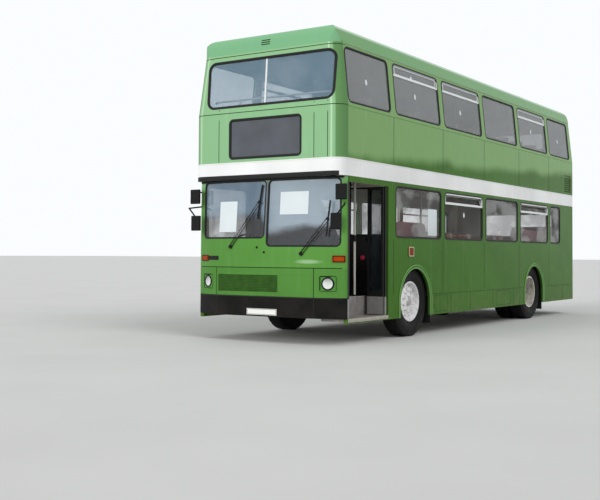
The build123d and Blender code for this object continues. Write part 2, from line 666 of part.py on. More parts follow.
# Chassis: two rails that rise over the rear axle and drop to the engine, cross-members between them and
# outriggers beside them, each bar seated on the next
beam_y = (380.0, 460.0)
beam_z = (400.0, 560.0)
kick_z = (650.0, 790.0)     # where the beams pass over the rear axle
tail_z = (380.0, 440.0)
kick_front_x = (rear_axle_x + 580, rear_axle_x + 680)
kick_rear_x = (engine_wall_x + 30, engine_wall_x + 130)
beam_end_x = (145 - half_length, half_length - 285)
bar_width = 60.0
bar_z = (420.0, 540.0)
high_bar_z = (670.0, 780.0)
chassis = []
for x0, x1, z0, z1 in ((kick_front_x[1] + seat_gap, beam_end_x[1], beam_z[0], beam_z[1]),
                       (kick_front_x[0], kick_front_x[1], beam_z[0], kick_z[1]),
                       (kick_rear_x[1] + seat_gap, kick_front_x[0] - seat_gap, kick_z[0], kick_z[1]),
                       (kick_rear_x[0], kick_rear_x[1], tail_z[0], kick_z[1]),
                       (beam_end_x[0], kick_rear_x[0] - seat_gap, tail_z[0], tail_z[1])):
    chassis += both_sides(block(x0, x1, beam_y[0], beam_y[1], z0, z1))
towing_bar_x = half_length - 345
cross_y = beam_y[0] - seat_gap
middle_bars_x = (600.0, -700.0)
for x, heights in ((half_length - 445, bar_z), (front_axle_x + 830, bar_z), (middle_bars_x[0], bar_z),
                   (middle_bars_x[1], bar_z), (kick_front_x[0] + 10, kick_z), (rear_axle_x - 820, high_bar_z),
                   (kick_rear_x[0] + 10, high_bar_z), (beam_end_x[0] + 10, tail_z)):
    chassis.append(block(x, x + bar_width, -cross_y, cross_y, *heights))
chassis.append(block(towing_bar_x, towing_bar_x + bar_width, -cross_y, cross_y, 440, 480))
under_floor = floor_z - floor_thick - seat_gap
for x in (front_axle_x + 730, front_axle_x - 770, *middle_bars_x):
    chassis += both_sides(block(x, x + bar_width, beam_y[1] + seat_gap, 1150, 470, under_floor))
    chassis += both_sides(block(x, x + bar_width, beam_y[0], beam_y[1], beam_z[1] + seat_gap, under_floor))
for x in (rear_axle_x - 520, rear_axle_x + 480):
    chassis += both_sides(block(x, x + bar_width, beam_y[0], beam_y[1], kick_z[1] + seat_gap,
                                raised_floor_z - floor_thick - seat_gap))
tank_y = 520.0
chassis.append(block(-150, 550, tank_y, 1120, 330, 540))
for x in (0, 400):
    chassis.append(block(x, x + bar_width, beam_y[1] + seat_gap, tank_y - seat_gap, 440, 520))

# Jacking pads under the rails
jack_pad = 50.0             # half length
jack_pad_thick = 25.0
for x in (front_axle_x + 530, rear_axle_x + 1180):
    chassis += both_sides(block(x - jack_pad, x + jack_pad, beam_y[0], beam_y[1],
                                beam_z[0] - seat_gap - jack_pad_thick, beam_z[0] - seat_gap))

# Towing plates, each with its bored eye
towing_radius = 16.5
front_eye_x = half_length - 233
rear_eye_x = 107 - half_length
front_plate = block(towing_bar_x + bar_width + seat_gap, front_eye_x + 48, -55, 55, 440, 480)
rear_plate = block(rear_eye_x - 42, beam_end_x[0] + 10 - seat_gap, -55, 55, 390, 430)
chassis.append(front_plate - upright(front_eye_x, 0, 300, 500, towing_radius))
chassis.append(rear_plate - upright(rear_eye_x, 0, 300, 500, towing_radius))

engine = block(205 - half_length, engine_wall_x - 60, -780, 600, 440 + seat_gap, 1330)

# Front axle: a dropped beam with a bored eye at each end
axle_z = tyre_radius
eye_half = 45.0
axle_beam_z = (235.0, 335.0)
front_axle = block(front_axle_x - 45, front_axle_x + 45, -620, 620, axle_beam_z[0], axle_beam_z[1])
for side in (1, -1):
    post_y0, post_y1 = sorted((side * 560, side * (kingpin_y - 65)))
    front_axle += block(front_axle_x - 45, front_axle_x + 45, post_y0, post_y1, axle_beam_z[0] + 60, axle_beam_z[1] + 30)
    post_y0, post_y1 = sorted((side * 770, side * (kingpin_y - 65)))
    front_axle += block(front_axle_x - 40, front_axle_x + 40, post_y0, post_y1, axle_beam_z[0] + 60, axle_z + eye_half)
    post_y0, post_y1 = sorted((side * 800, side * (kingpin_y - 30)))
    front_axle += block(front_axle_x - 40, front_axle_x + 40, post_y0, post_y1, axle_z - eye_half, axle_z + eye_half)
    front_axle += upright(front_axle_x, side * kingpin_y, axle_z - eye_half, axle_z + eye_half, 52)
    front_axle -= upright(front_axle_x, side * kingpin_y, 0, 1000, kingpin_radius + running_gap)
    front_axle += upright(front_axle_x, side * 420, axle_beam_z[1] - 10, 400 - seat_gap, 60)

# Steering knuckle: a fork on the kingpin, with the stub that carries the wheel
fork_gap = 1.0
fork_thick = 30.0
stub_length = 138.0


def knuckle(side):
    """One steering knuckle, +1 left or -1 right."""
    y = side * kingpin_y
    body = upright(front_axle_x, y, axle_z - eye_half - fork_gap - fork_thick,
                   axle_z + eye_half + fork_gap + fork_thick, kingpin_radius)
    for z0 in (axle_z - eye_half - fork_gap - fork_thick, axle_z + eye_half + fork_gap):
        body += upright(front_axle_x, y, z0, z0 + fork_thick, 50)
        y0, y1 = sorted((y, y + side * 80))
        body += block(front_axle_x - 50, front_axle_x + 50, y0, y1, z0, z0 + fork_thick)
    y0, y1 = sorted((y + side * 58, y + side * 80))
    body += block(front_axle_x - 50, front_axle_x + 50, y0, y1, axle_z - 76, axle_z + 76)
    y0, y1 = sorted((y + side * 70, y + side * (80 + stub_length)))
    body += crossways(front_axle_x, axle_z, y0, y1, stub_radius)
    return body


# Wheels: (radius, offset outwards) outlines about the axle line
half_tyre = tyre_width / 2
half_tread = tread_width / 2
half_rim = rim_width / 2
bore_radius = stub_radius + running_gap
tyre_inner = rim_barrel_radius + seat_gap
flange_inner = half_rim - 12 - seat_gap
tyre_outline = [(tyre_inner, -flange_inner), (rim_flange_radius + 1, -flange_inner),
                (rim_flange_radius + 20, 2 - half_rim), (410, -half_tyre),
                (495, -half_tread - 14), (tyre_radius, -half_tread), (tyre_radius, half_tread),
                (495, half_tread + 14), (410, half_tyre), (rim_flange_radius + 20, half_rim - 2),
                (rim_flange_radius + 1, flange_inner), (tyre_inner, flange_inner)]
front_rim_outline = [(bore_radius, -60), (105, -60), (105, 30), (262, 30), (272, 20), (272, -half_rim),
                     (rim_flange_radius, -half_rim), (rim_flange_radius, 12 - half_rim),
                     (rim_barrel_radius, 12 - half_rim), (rim_barrel_radius, half_rim - 12),
                     (rim_flange_radius, half_rim - 12), (rim_flange_radius, half_rim), (284, half_rim),
                     (262, 46), (150, 74), (75, 88), (0, 88), (0, 90 - 10), (bore_radius, 78)]


def front_rim(side):
    """A steered wheel's rim, with its pierced trim disc and bored hub."""
    outline = [(r, side * u) for r, u in front_rim_outline]
    rim = turned(outline, 0)
    for i in range(10):
        a = radians(36 * i)
        hole = Pos(235 * cos(a), 0, 235 * sin(a)) * crossways(0, 0, -200, 200, 18)
        rim -= hole
    return rim


def rear_rims(side):
    """A pair of rear rims back to back on one hub."""
    gap = outer_twin_y - inner_twin_y
    mid = (outer_twin_y + inner_twin_y) / 2
    outline = [(bore_radius, -130), (120, -130), (120, -14), (272, -14), (272, -gap / 2 - half_rim),
               (rim_flange_radius, -gap / 2 - half_rim), (rim_flange_radius, 12 - gap / 2 - half_rim),
               (rim_barrel_radius, 12 - gap / 2 - half_rim), (rim_barrel_radius, half_rim - 12 - gap / 2),
               (rim_flange_radius, half_rim - 12 - gap / 2), (rim_flange_radius, half_rim - gap / 2),
               (278, half_rim - gap / 2), (278, gap / 2 - half_rim), (rim_flange_radius, gap / 2 - half_rim),
               (rim_flange_radius, gap / 2 - half_rim + 12), (rim_barrel_radius, gap / 2 - half_rim + 12),
               (rim_barrel_radius, gap / 2 + half_rim - 12), (rim_flange_radius, gap / 2 + half_rim - 12),
               (rim_flange_radius, gap / 2 + half_rim), (272, gap / 2 + half_rim), (272, 14), (150, 14),
               (140, 130), (60, 150), (0, 150), (0, 120), (bore_radius, 120)]
    rim = turned([(r, side * u) for r, u in outline], side * mid)
    for i in range(8):
        a = radians(45 * i)
        rim -= Pos(210 * cos(a), 0, 210 * sin(a)) * crossways(0, 0, *sorted((side * 600, side * 1100)), 26)
    return rim


# Rear axle: a tube with the drive casing in its middle, spring seats and two shafts
rear_axle = crossways(rear_axle_x, axle_z, -700, 700, 75)
rear_axle += crossways(rear_axle_x, axle_z, -180, 160, 175)
for side in (1, -1):
    y0, y1 = sorted((side * 690, side * 980))
    rear_axle += crossways(rear_axle_x, axle_z, y0, y1, stub_radius)
    rear_axle += block(rear_axle_x - 70, rear_axle_x + 70, *sorted((side * 390, side * 450)),
                       axle_z + 40, 650 - seat_gap)

# Door leaves, drawn closed along +X from a hinge at the origin and then swung to their open places
leaf_run = (door_front_x - door_rear_x) / 2 - leaf_hinge_in
leaf_length = (leaf_run - leaf_gap / 2) / 2
leaf_bottom = step_z + 12
leaf_top = door_head - 10
fold_y = leaf_thick / 2 + fold_offset


def leaf(u0, u1):
    """A framed leaf with its pane, between two edges along the door."""
    half = leaf_thick / 2
    frame = block(u0, u1, -half, half, leaf_bottom, leaf_top)
    hole = (u0 + leaf_frame, u1 - leaf_frame, leaf_bottom + 330, leaf_top - leaf_frame)
    frame -= through_side(*hole, 25, -far, far)
    pane = through_side(hole[0] + seat_gap, hole[1] - seat_gap, hole[2] + seat_gap, hole[3] - seat_gap, 25, -3, 3)
    return [frame, pane]


def placed_leaves(post_x, direction):
    """Both leaves of one half of the door, folded open at their post; direction is +1 or -1 along X."""
    outer_closed = leaf(-leaf_heel, leaf_length - leaf_gap / 2)
    inner_closed = leaf(leaf_length + leaf_gap / 2, 2 * leaf_length)
    fixed, moving = [Pos(leaf_length, fold_y, 0) * half for half in hinges((leaf_bottom + 150, 1250, leaf_top - 175))]
    outer_closed[0] += fixed
    outer_closed[0] += upright(0, 0, step_z + seat_gap, door_head - seat_gap, leaf_shaft)
    inner_closed[0] += moving
    folded = [Pos(leaf_length, fold_y, 0) * Rot(0, 0, 180) * Pos(-leaf_length, -fold_y, 0) * s for s in inner_closed]
    swing = Rot(0, 0, -90)
    outer_open = [swing * s for s in outer_closed]
    inner_open = [swing * s for s in folded]
    if direction < 0:
        outer_open = [mirror(s, about=Plane.YZ) for s in outer_open]
        inner_open = [mirror(s, about=Plane.YZ) for s in inner_open]
    place = Pos(post_x, leaf_y, 0)
    return [place * s for s in outer_open], [place * s for s in inner_open]


rear_outer, rear_inner = placed_leaves(door_rear_x + leaf_hinge_in, 1)
front_outer, front_inner = placed_leaves(door_front_x - leaf_hinge_in, -1)

# Emergency door and upper rear exit, each with its pane
door_skin = 40.0
emergency = block(emergency_rear_x + lid_gap, emergency_front_x - lid_gap, -half_width, door_skin - half_width,
                  emergency_sill + lid_gap, door_head - lid_gap)
fixed, moving = [Pos(emergency_front_x - lid_gap / 2, -half_width - fold_offset, 0) * Rot(0, 0, 180) * half
                 for half in hinges((1020, 1500, door_head - 205))]
offside += fixed
emergency += moving
pane_x = (emergency_rear_x + 90, emergency_front_x - 90)
emergency -= through_side(pane_x[0], pane_x[1], lower_sill, door_head - 90, 60, -far, 0)
emergency_pane = through_side(pane_x[0] + seat_gap, pane_x[1] - seat_gap, lower_sill + seat_gap,
                              door_head - 90 - seat_gap, 60, glass_inset - half_width,
                              glass_inset + glass_thick - half_width)

exit_rise = rear_exit_z[1] - lid_gap / 2
exit_slope = rear_lean / (cove_z - waist_z)
exit_face_x = exit_slope * (exit_rise - waist_z) - half_length
exit_hinge = Plane(origin=(exit_face_x - fold_offset, 0, exit_rise), x_dir=(-exit_slope, 0, -1), z_dir=(0, 1, 0))
exit_fixed, exit_moving = [exit_hinge * half for half in hinges((-500, -50, 400))]
upper_rear += exit_fixed
exit_cut = block(-front_x1, split_rear, lid_gap - rear_exit_half, rear_exit_half - lid_gap,
                 rear_exit_z[0] + lid_gap, rear_exit_z[1] - lid_gap)
exit_hole = through_front(70 - rear_exit_half, rear_exit_half - 70, rear_exit_z[0] + 70, rear_exit_z[1] - 70, 60,
                          -front_x1, split_rear)
exit_pane_hole = through_front(70 + seat_gap - rear_exit_half, rear_exit_half - 70 - seat_gap,
                               rear_exit_z[0] + 70 + seat_gap, rear_exit_z[1] - 70 - seat_gap, 60,
                               -front_x1, split_rear)
upper_glass_skin = upper_skin(glass_inset, glass_thick)
lower_glass_skin = lower_skin(glass_inset, glass_thick)
rear_exit = (upper_skin(0, door_skin) & exit_cut) - exit_hole + exit_moving
rear_exit_pane = upper_glass_skin & exit_pane_hole

# Side panes and the aluminium frames of their vents


def side_slab(side, inset, thick, upper):
    """A flat slab along one side, inset from the outer face of that deck."""
    lean = side_lean if upper else 0.0
    foot, head = (waist_z, cove_z) if upper else (lower_sill - 200, band_bottom)
    outline = [(side * (half_width - inset), foot), (side * (half_width - lean - inset), head),
               (side * (half_width - lean - inset - thick), head), (side * (half_width - inset - thick), foot)]
    plane = Plane(origin=(-half_length, 0, 0), x_dir=(0, 1, 0), z_dir=(1, 0, 0))
    return extrude(plane * make_face(Polyline(*outline, close=True)), amount=length)


def side_pane(window, side, z0, z1, upper):
    """The pane of one side window, which follows the corner of the upper deck where it reaches it."""
    y0, y1 = sorted((0, side * far))
    whole = window_cutter(window, z0, z1, y0, y1, seat_gap)
    if upper and window[1] > upper_split_front - front_lean:
        return upper_glass_skin & whole
    return side_slab(side, glass_inset, glass_thick, upper) & whole


side_panes = []
vent_frames = []
glazing = [(window, 1, lower_sill, False) for window in lower_windows]
glazing += [(window, -1, lower_sill, False) for window in offside_lower_windows]
glazing.append((cab_window, -1, cab_window_sill, False))
glazing += [(window, side, upper_sill, True) for side in (1, -1) for window in upper_windows]
for window, side, z0, upper in glazing:
    z1 = upper_head if upper else lower_head
    whole = side_pane(window, side, z0, z1, upper)
    if not window[2]:
        side_panes.append(whole)
        continue
    y0, y1 = sorted((0, side * far))
    vent_z = z1 - hopper_drop
    side_panes.append(whole & block(window[0], window[1], y0, y1, z0, vent_z - seat_gap))
    inner = (window[0] + hopper_frame, window[1] - hopper_frame, vent_z + hopper_frame, z1 - hopper_frame)
    hole = through_side(*inner, 20, y0, y1)
    frame = side_slab(side, 5, 22, upper) & window_cutter(window, z0, z1, y0, y1, seat_gap)
    vent_frames.append((frame & block(window[0], window[1], y0, y1, vent_z, z1)) - hole)
    pane = side_slab(side, glass_inset, glass_thick, upper) & through_side(
        inner[0] + seat_gap, inner[1] - seat_gap, inner[2] + seat_gap, inner[3] - seat_gap, 20, y0, y1)
    if side > 0 and not upper:
        sill = Axis((0, half_width - glass_inset - glass_thick, inner[2] + seat_gap), (1, 0, 0))
        pane = pane.rotate(sill, hopper_pane_drop)
    side_panes.append(pane)

front_panes = []
for y0, y1, z0 in screen_panes:
    front_panes.append(lower_glass_skin & through_front(y0 + seat_gap, y1 - seat_gap, z0 + seat_gap,
                                                        screen_head - seat_gap, 60, 4000, front_x1))
upper_screen_hole = through_front(upper_front_panes[0][0] + seat_gap, upper_front_panes[1][1] - seat_gap,
                                  upper_front_sill + seat_gap, upper_front_head - seat_gap,
                                  upper_front_round, 4000, front_x1)
upper_screen = upper_glass_skin & upper_screen_hole
for y0, y1 in ((-far, upper_front_panes[0][1]), (upper_front_panes[1][0], far)):
    front_panes.append(upper_screen & block(4000, front_x1, y0, y1, 0, height))
divider = upper_skin(8, 20) & upper_screen_hole
divider &= block(4000, front_x1, upper_front_panes[0][1] + seat_gap, upper_front_panes[1][0] - seat_gap, 0, height)
vent_frames.append(divider)
destination_pane = upper_glass_skin & through_front(destination_y[0] + seat_gap, destination_y[1] - seat_gap,
                                                    destination_z[0] + seat_gap, destination_z[1] - seat_gap,
                                                    destination_round, 4000, front_x1)
rear_pane = lower_glass_skin & through_front(seat_gap - rear_window_half, rear_window_half - seat_gap,
                                             rear_window_z[0] + seat_gap, rear_window_z[1] - seat_gap, 60,
                                             -front_x1, split_rear)
side_panes.append(rear_pane)

# Lamps that stand on the panels
indicator_height = 90.0
indicator_half = 80.0
indicator_z = 1110.0
repeater_size = (170.0, 140.0)
repeater_x = front_axle_x + 166
repeater_z = 1262.0
lamp_proud = 12.0
indicator_shell = (extrude(lower_plan(-lamp_proud, indicator_z), amount=indicator_height)
                   - extrude(lower_plan(0, indicator_z - 1), amount=indicator_height + 2))
indicators = []
for y in (1150.0, -1089.0):
    indicators.append(indicator_shell & block(lower_split_front + 20, half_length + 20, y - indicator_half,
                                              y + indicator_half, 0, height))
for side in (1, -1):
    y0, y1 = sorted((side * half_width, side * (half_width + lamp_proud)))
    indicators.append(block(repeater_x - repeater_size[0] / 2, repeater_x + repeater_size[0] / 2, y0, y1,
                            repeater_z - repeater_size[1] / 2, repeater_z + repeater_size[1] / 2))
tail_lamps = []
for side in (1, -1):
    for z in (760, 900, 1040):
        y = side * 1030
        tail_lamps.append(block(-half_length - lamp_proud, -half_length, y - 55, y + 55, z - 55, z + 55))

plates = [block(half_length, half_length + 6, -260, 240, 380, 465),
          block(-half_length - 6, -half_length, -260, 260, 1440, 1550)]

# Mirrors on tube arms from the front corner posts
mirror_tube = 11.0
mirror_thick = 40.0
mirror_x = half_length + end_reach - mirror_thick / 2
lower_head_y = (1102, 1265)
lower_head_z = (band_bottom - 715, band_bottom - 498)
upper_head_y = (1150, 1320)
upper_head_z = (band_bottom - 325, band_bottom - 115)
mirror_reach = half_width + 75
mirrors = []
post_x = half_length - 185
panel_face = lower_block(-seat_gap, skirt_z, band_bottom)
for side in (1, -1):
    for head_y, head_z, x in ((lower_head_y, lower_head_z, mirror_x), (upper_head_y, upper_head_z, mirror_x - 45)):
        y0, y1 = sorted((side * head_y[0], side * head_y[1]))
        head = fillet(block(x - mirror_thick / 2, x + mirror_thick / 2, y0, y1, *head_z).edges(), 14)
        elbow_z = head_z[1] + (110 if head_z is lower_head_z else -60)
        route = [(post_x, side * 1200, elbow_z + 30), (x, side * (mirror_reach - mirror_tube), elbow_z),
                 (x, side * sum(head_y) / 2, head_z[1] - 30)]
        mirrors.append(head + (bent_bar(route, mirror_tube) - panel_face))

# Wipers: pivot, middle of the blade, and the blade's lean
wiper_gap = 10.0
wipers = []
for pivot_y, pivot_z, blade_y, blade_z, blade_half, blade_lean in (
        (-551, 1315, -77, 1937, 205, -7.0), (637, 1221, 1045, 1690, 205, -5.0)):
    reach = hypot(blade_y - pivot_y, blade_z - pivot_z)
    swing = -atan2(blade_y - pivot_y, blade_z - pivot_z) * 180 / pi
    arm = None
    for beside in (-22, 14):
        bar = block(0, 8, beside, beside + 8, 0, reach - 10)
        arm = bar if arm is None else arm + bar
    arm += block(0, 8, -26, 26, reach - 30, reach + 10)
    arm += block(0, 8, -26, 26, -20, 20)
    blade = Pos(0, blade_y - pivot_y, blade_z - pivot_z) * Rot(blade_lean, 0, 0) * block(-wiper_gap + 2, 0, -8, 8,
                                                                                 -blade_half, blade_half)
    lean = Rot(0, -atan2(screen_rake, band_bottom - screen_foot_z) * 180 / pi, 0)
    swung = lean * (Rot(swing, 0, 0) * arm + blade)
    hub = Plane(origin=(half_length + seat_gap, pivot_y, pivot_z), z_dir=(1, 0, 0)) * Circle(24)
    wipers.append(extrude(hub, amount=end_reach - seat_gap) + Pos(half_length + wiper_gap, pivot_y, pivot_z) * swung)

mudflap_thick = 8.0
mudflap_bottom = 160.0
mudflaps = []
for x, y0, floor_level in ((front_axle_x - front_box_half, 900, floor_z),
                           (rear_axle_x - rear_box_half, 590, raised_floor_z)):
    mudflaps += both_sides(block(x + 3, x + 3 + mudflap_thick, y0, 1190, mudflap_bottom,
                                 floor_level - floor_thick - seat_gap))

nodes = {
    "chassis_frame": chassis, "lower_floor": lower_floor, "rear_floor": rear_floor,
    "entrance_step": entrance_step, "wheel_boxes": wheel_boxes,
    "nearside_lower_wall": [nearside, door_rail, door_sill],
    "offside_lower_wall": [offside], "front_lower_panel": [front_half], "rear_lower_panel": [back],
    "cantrail_band": band_lengths, "upper_floor": [upper_floor], "nearside_upper_wall": [upper_sides[1]],
    "offside_upper_wall": [upper_sides[-1]], "upper_front_panel": [upper_front],
    "upper_rear_panel": [upper_rear], "roof": [roof], "side_windows": side_panes,
    "front_windows": front_panes, "window_frames": vent_frames, "destination_glass": [destination_pane],
    "front_bumper": [bumper], "front_grille": [grille], "headlamps": lamps, "indicators": indicators,
    "tail_lamps": tail_lamps, "number_plates": plates, "mirrors": mirrors, "wipers": wipers,
    "cab_dashboard": [cab], "cab_partition": [partition], "cab_door": [cab_door], "staircase": [stairs],
    "lower_seats": lower_seats, "upper_seats": upper_seats, "grab_rails": rails, "engine_block": [engine],
    "front_axle": [front_axle], "rear_axle": [rear_axle], "mudflaps": mudflaps,
    "left_knuckle": [knuckle(1)], "right_knuckle": [knuckle(-1)], "engine_cover": [bonnet],
    "emergency_door": [emergency, emergency_pane], "upper_rear_exit": [rear_exit, rear_exit_pane],
    "front_door_outer_leaf": front_outer, "front_door_inner_leaf": front_inner,
    "rear_door_outer_leaf": rear_outer, "rear_door_inner_leaf": rear_inner,
}
for name, side in (("left", 1), ("right", -1)):
    at_front = Pos(front_axle_x, side * front_wheel_y, axle_z)
    at_rear = Pos(rear_axle_x, 0, axle_z)
    tyre = turned(tyre_outline, 0)
    nodes[f"front_{name}_tyre"] = [at_front * tyre]
    nodes[f"front_{name}_rim"] = [at_front * front_rim(side)]
    nodes[f"rear_{name}_tyres"] = [at_rear * Pos(0, side * y, 0) * tyre for y in (outer_twin_y, inner_twin_y)]
    nodes[f"rear_{name}_rims"] = [at_rear * rear_rims(side)]

for name, solids in nodes.items():
    pieces = []
    for solid in solids:
        pieces += solid.solids()
    export_step(pieces[0] if len(pieces) == 1 else Compound(pieces), f"parts/{name}.step")
    print(name, len(pieces))
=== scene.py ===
from math import asin, atan2, ceil, cos, pi, radians, sin, sqrt, tan

import bmesh
import bpy
from mathutils import Matrix, Vector


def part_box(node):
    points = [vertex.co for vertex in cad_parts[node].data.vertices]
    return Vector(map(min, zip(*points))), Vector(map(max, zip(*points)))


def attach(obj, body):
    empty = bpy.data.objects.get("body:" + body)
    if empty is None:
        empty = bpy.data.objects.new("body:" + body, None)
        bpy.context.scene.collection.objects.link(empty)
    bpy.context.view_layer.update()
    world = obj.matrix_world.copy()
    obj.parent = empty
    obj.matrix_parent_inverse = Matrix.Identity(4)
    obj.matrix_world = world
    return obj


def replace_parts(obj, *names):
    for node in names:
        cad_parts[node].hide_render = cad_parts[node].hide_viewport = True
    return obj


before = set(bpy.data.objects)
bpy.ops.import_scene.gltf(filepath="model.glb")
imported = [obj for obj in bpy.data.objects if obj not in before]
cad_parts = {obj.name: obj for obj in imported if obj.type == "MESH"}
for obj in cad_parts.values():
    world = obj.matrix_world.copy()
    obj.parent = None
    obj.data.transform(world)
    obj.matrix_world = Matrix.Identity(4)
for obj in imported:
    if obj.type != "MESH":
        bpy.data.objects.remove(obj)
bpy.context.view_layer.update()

# Camera. It stands as it did for the photograph, chest high off the front left corner of the bus, and
# its lens is a short telephoto one.
photo_width = 600
axis_above_middle = 25      # pixels by which the optical axis lies above the middle of the frame
focal = 963.5               # pixels
stand = Vector((15.611, 7.7478, 1.2138))
heading, rise, roll = radians(213.526), radians(1.742), radians(0.3264)
sensor = 36
look = Vector((cos(rise) * cos(heading), cos(rise) * sin(heading), sin(rise)))
level = look.cross(Vector((0, 0, 1))).normalized()
above = level.cross(look)
across = level * cos(roll) + above * sin(roll)
upwards = above * cos(roll) - level * sin(roll)
camera = bpy.data.objects.new("camera", bpy.data.cameras.new("camera"))
bpy.context.scene.collection.objects.link(camera)
camera.data.sensor_width = sensor
camera.data.lens = focal * sensor / photo_width
camera.data.shift_y = -axis_above_middle / photo_width
camera.matrix_world = Matrix((across, upwards, -look)).transposed().to_4x4()
camera.location = stand
bpy.context.scene.camera = camera
bpy.context.scene.view_settings.view_transform = "Standard"

# Studio. A pale matt floor that keeps the object's shadow, a white surround and two soft far lamps, one
# before the front of the bus and one over its left side.


class Signal:
    """A number, colour or direction that changes over a surface, for use in sums."""

    def __init__(self, finish, socket):
        self.finish = finish
        self.socket = socket

    def sum(self, operation, first, second=0.0):
        return self.finish.node("ShaderNodeMath", {"operation": operation}, {0: first, 1: second})

    def __add__(self, other):
        return self.sum("ADD", self, other)

    __radd__ = __add__

    def __sub__(self, other):
        return self.sum("SUBTRACT", self, other)

    def __rsub__(self, other):
        return self.sum("SUBTRACT", other, self)

    def __mul__(self, other):
        return self.sum("MULTIPLY", self, other)

    __rmul__ = __mul__

    def __truediv__(self, other):
        return self.sum("DIVIDE", self, other)

    def __pow__(self, other):
        return self.sum("POWER", self, other)

    def size(self):
        return self.sum("ABSOLUTE", self)

    def wave(self):
        return self.sum("SINE", self)

    def most(self, other):
        return self.sum("MAXIMUM", self, other)

    def fade(self, low, high):
        """0 below low, 1 above high, smooth between them; the other way round where low is the larger."""
        sockets = {"Value": self, "From Min": min(low, high), "From Max": max(low, high)}
        faded = self.finish.node("ShaderNodeMapRange", {"interpolation_type": "SMOOTHSTEP"}, sockets)
        return 1.0 - faded if low > high else faded


class Finish:
    """A surface finish: a material, its nodes, and the shader that they end in."""

    def __init__(self, name, **constants):
        self.material = bpy.data.materials.new(name)
        self.material.use_nodes = True
        self.tree = self.material.node_tree
        self.shader = self.tree.nodes["Principled BSDF"]
        self.place = self.node("ShaderNodeTexCoord", output=3)
        self.set(**constants)

    def node(self, kind, settings=None, sockets=None, output=0):
        made = self.tree.nodes.new(kind)
        for setting, value in (settings or {}).items():
            setattr(made, setting, value)
        for socket, value in (sockets or {}).items():
            self.join(value, made.inputs[socket])
        return Signal(self, made.outputs[output])

    def join(self, value, socket):
        if isinstance(value, Signal):
            self.tree.links.new(value.socket, socket)
        else:
            socket.default_value = value

    def now(self, socket):
        """What a socket of the shader is linked to so far."""
        return Signal(self, self.shader.inputs[socket].links[0].from_socket)

    def set(self, **sockets):
        """Sets or links sockets of the shader, such as Base_Color."""
        for socket, value in sockets.items():
            self.join(value, self.shader.inputs[socket.replace("_", " ")])

    def axes(self, of=None):
        """The three parts of a place or direction, the object's own place if none is named."""
        parts = self.node("ShaderNodeSeparateXYZ", sockets={0: of or self.place})
        return [Signal(self, socket) for socket in parts.socket.node.outputs]

    def looks(self):
        """The three parts of the direction that the surface looks in."""
        return self.axes(self.node("ShaderNodeTexCoord", output=1))

    def scaled(self, factors):
        return self.node("ShaderNodeVectorMath", {"operation": "MULTIPLY"}, {0: self.place, 1: factors})

    def noise(self, scale, detail=3.0, stretch=(1, 1, 1)):
        """Cloudy noise from 0 to 1 at so many patches a metre."""
        sockets = {"Vector": self.scaled(stretch), "Scale": scale, "Detail": detail}
        return self.node("ShaderNodeTexNoise", sockets=sockets)

    def cells(self, scale):
        """Distance to the middle of the nearest cell."""
        return self.node("ShaderNodeTexVoronoi", sockets={"Vector": self.place, "Scale": scale})

    def mix(self, amount, first, second):
        """A colour between two colours."""
        return self.node("ShaderNodeMix", {"data_type": "RGBA"}, {0: amount, 6: first, 7: second}, output=2)

    def bump(self, height, distance, under=None):
        """A surface direction bent by a height, whose 0 to 1 stands for distance in metres."""
        sockets = {"Height": height, "Distance": distance, "Strength": 1.0}
        if under is not None:
            sockets["Normal"] = under
        return self.node("ShaderNodeBump", sockets=sockets)

    def on(self, *names):
        """Puts this finish on CAD nodes."""
        for name in names:
            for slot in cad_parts[name].material_slots:
                slot.material = self.material
        return self


def paint(red, green, blue):
    """A colour given as it is seen, from 0 to 255, in the renderer's linear values."""
    seen = (red / 255, green / 255, blue / 255)
    return (*[part / 12.92 if part <= 0.04045 else ((part + 0.055) / 1.055) ** 2.4 for part in seen], 1.0)


def dull(colour, share):
    """A colour darkened to a share of itself."""
    return (*[part * share for part in colour[:3]], 1.0)


floor_reach = 300.0
ground = bpy.data.meshes.new("ground")
ground.from_pydata([(floor_reach * x, floor_reach * y, 0) for x, y in ((-1, -1), (1, -1), (1, 1), (-1, 1))],
                   [], [(0, 1, 2, 3)])
ground = bpy.data.objects.new("ground", ground)
bpy.context.scene.collection.objects.link(ground)
floor_finish = Finish("pale_floor", Roughness=0.9)
floor_finish.set(Base_Color=floor_finish.mix(floor_finish.noise(0.6, 4.0), paint(196, 196, 194),
                                             paint(208, 208, 206)))
ground.data.materials.append(floor_finish.material)

world = bpy.data.worlds.new("surround")
bpy.context.scene.world = world
world.use_nodes = True
light_path = world.node_tree.nodes.new("ShaderNodeLightPath")
seen = light_path.outputs["Is Camera Ray"]
for ray in ("Is Glossy Ray", "Is Transmission Ray"):
    either = world.node_tree.nodes.new("ShaderNodeMath")
    either.operation = "MAXIMUM"
    world.node_tree.links.new(seen, either.inputs[0])
    world.node_tree.links.new(light_path.outputs[ray], either.inputs[1])
    seen = either.outputs[0]
surround_light = 0.62
strength = world.node_tree.nodes.new("ShaderNodeMapRange")
strength.inputs["To Min"].default_value = surround_light
world.node_tree.links.new(seen, strength.inputs["Value"])
background = world.node_tree.nodes["Background"]
background.inputs["Color"].default_value = (0.96, 0.98, 1.0, 1.0)
world.node_tree.links.new(strength.outputs["Result"], background.inputs["Strength"])

for name, place, aim, softness, power in (("front_lamp", (18, -5, 6), (4, -0.5, 2), 30, 1.92),
                                          ("side_lamp", (4, 14, 14), (0, 1, 2), 35, 1.25)):
    light = bpy.data.lights.new(name, "SUN")
    light.angle = radians(softness)
    light.energy = power
    lamp = bpy.data.objects.new(name, light)
    bpy.context.scene.collection.objects.link(lamp)
    lamp.visible_glossy = False
    lamp.rotation_euler = (Vector(aim) - Vector(place)).to_track_quat("-Z", "Y").to_euler()

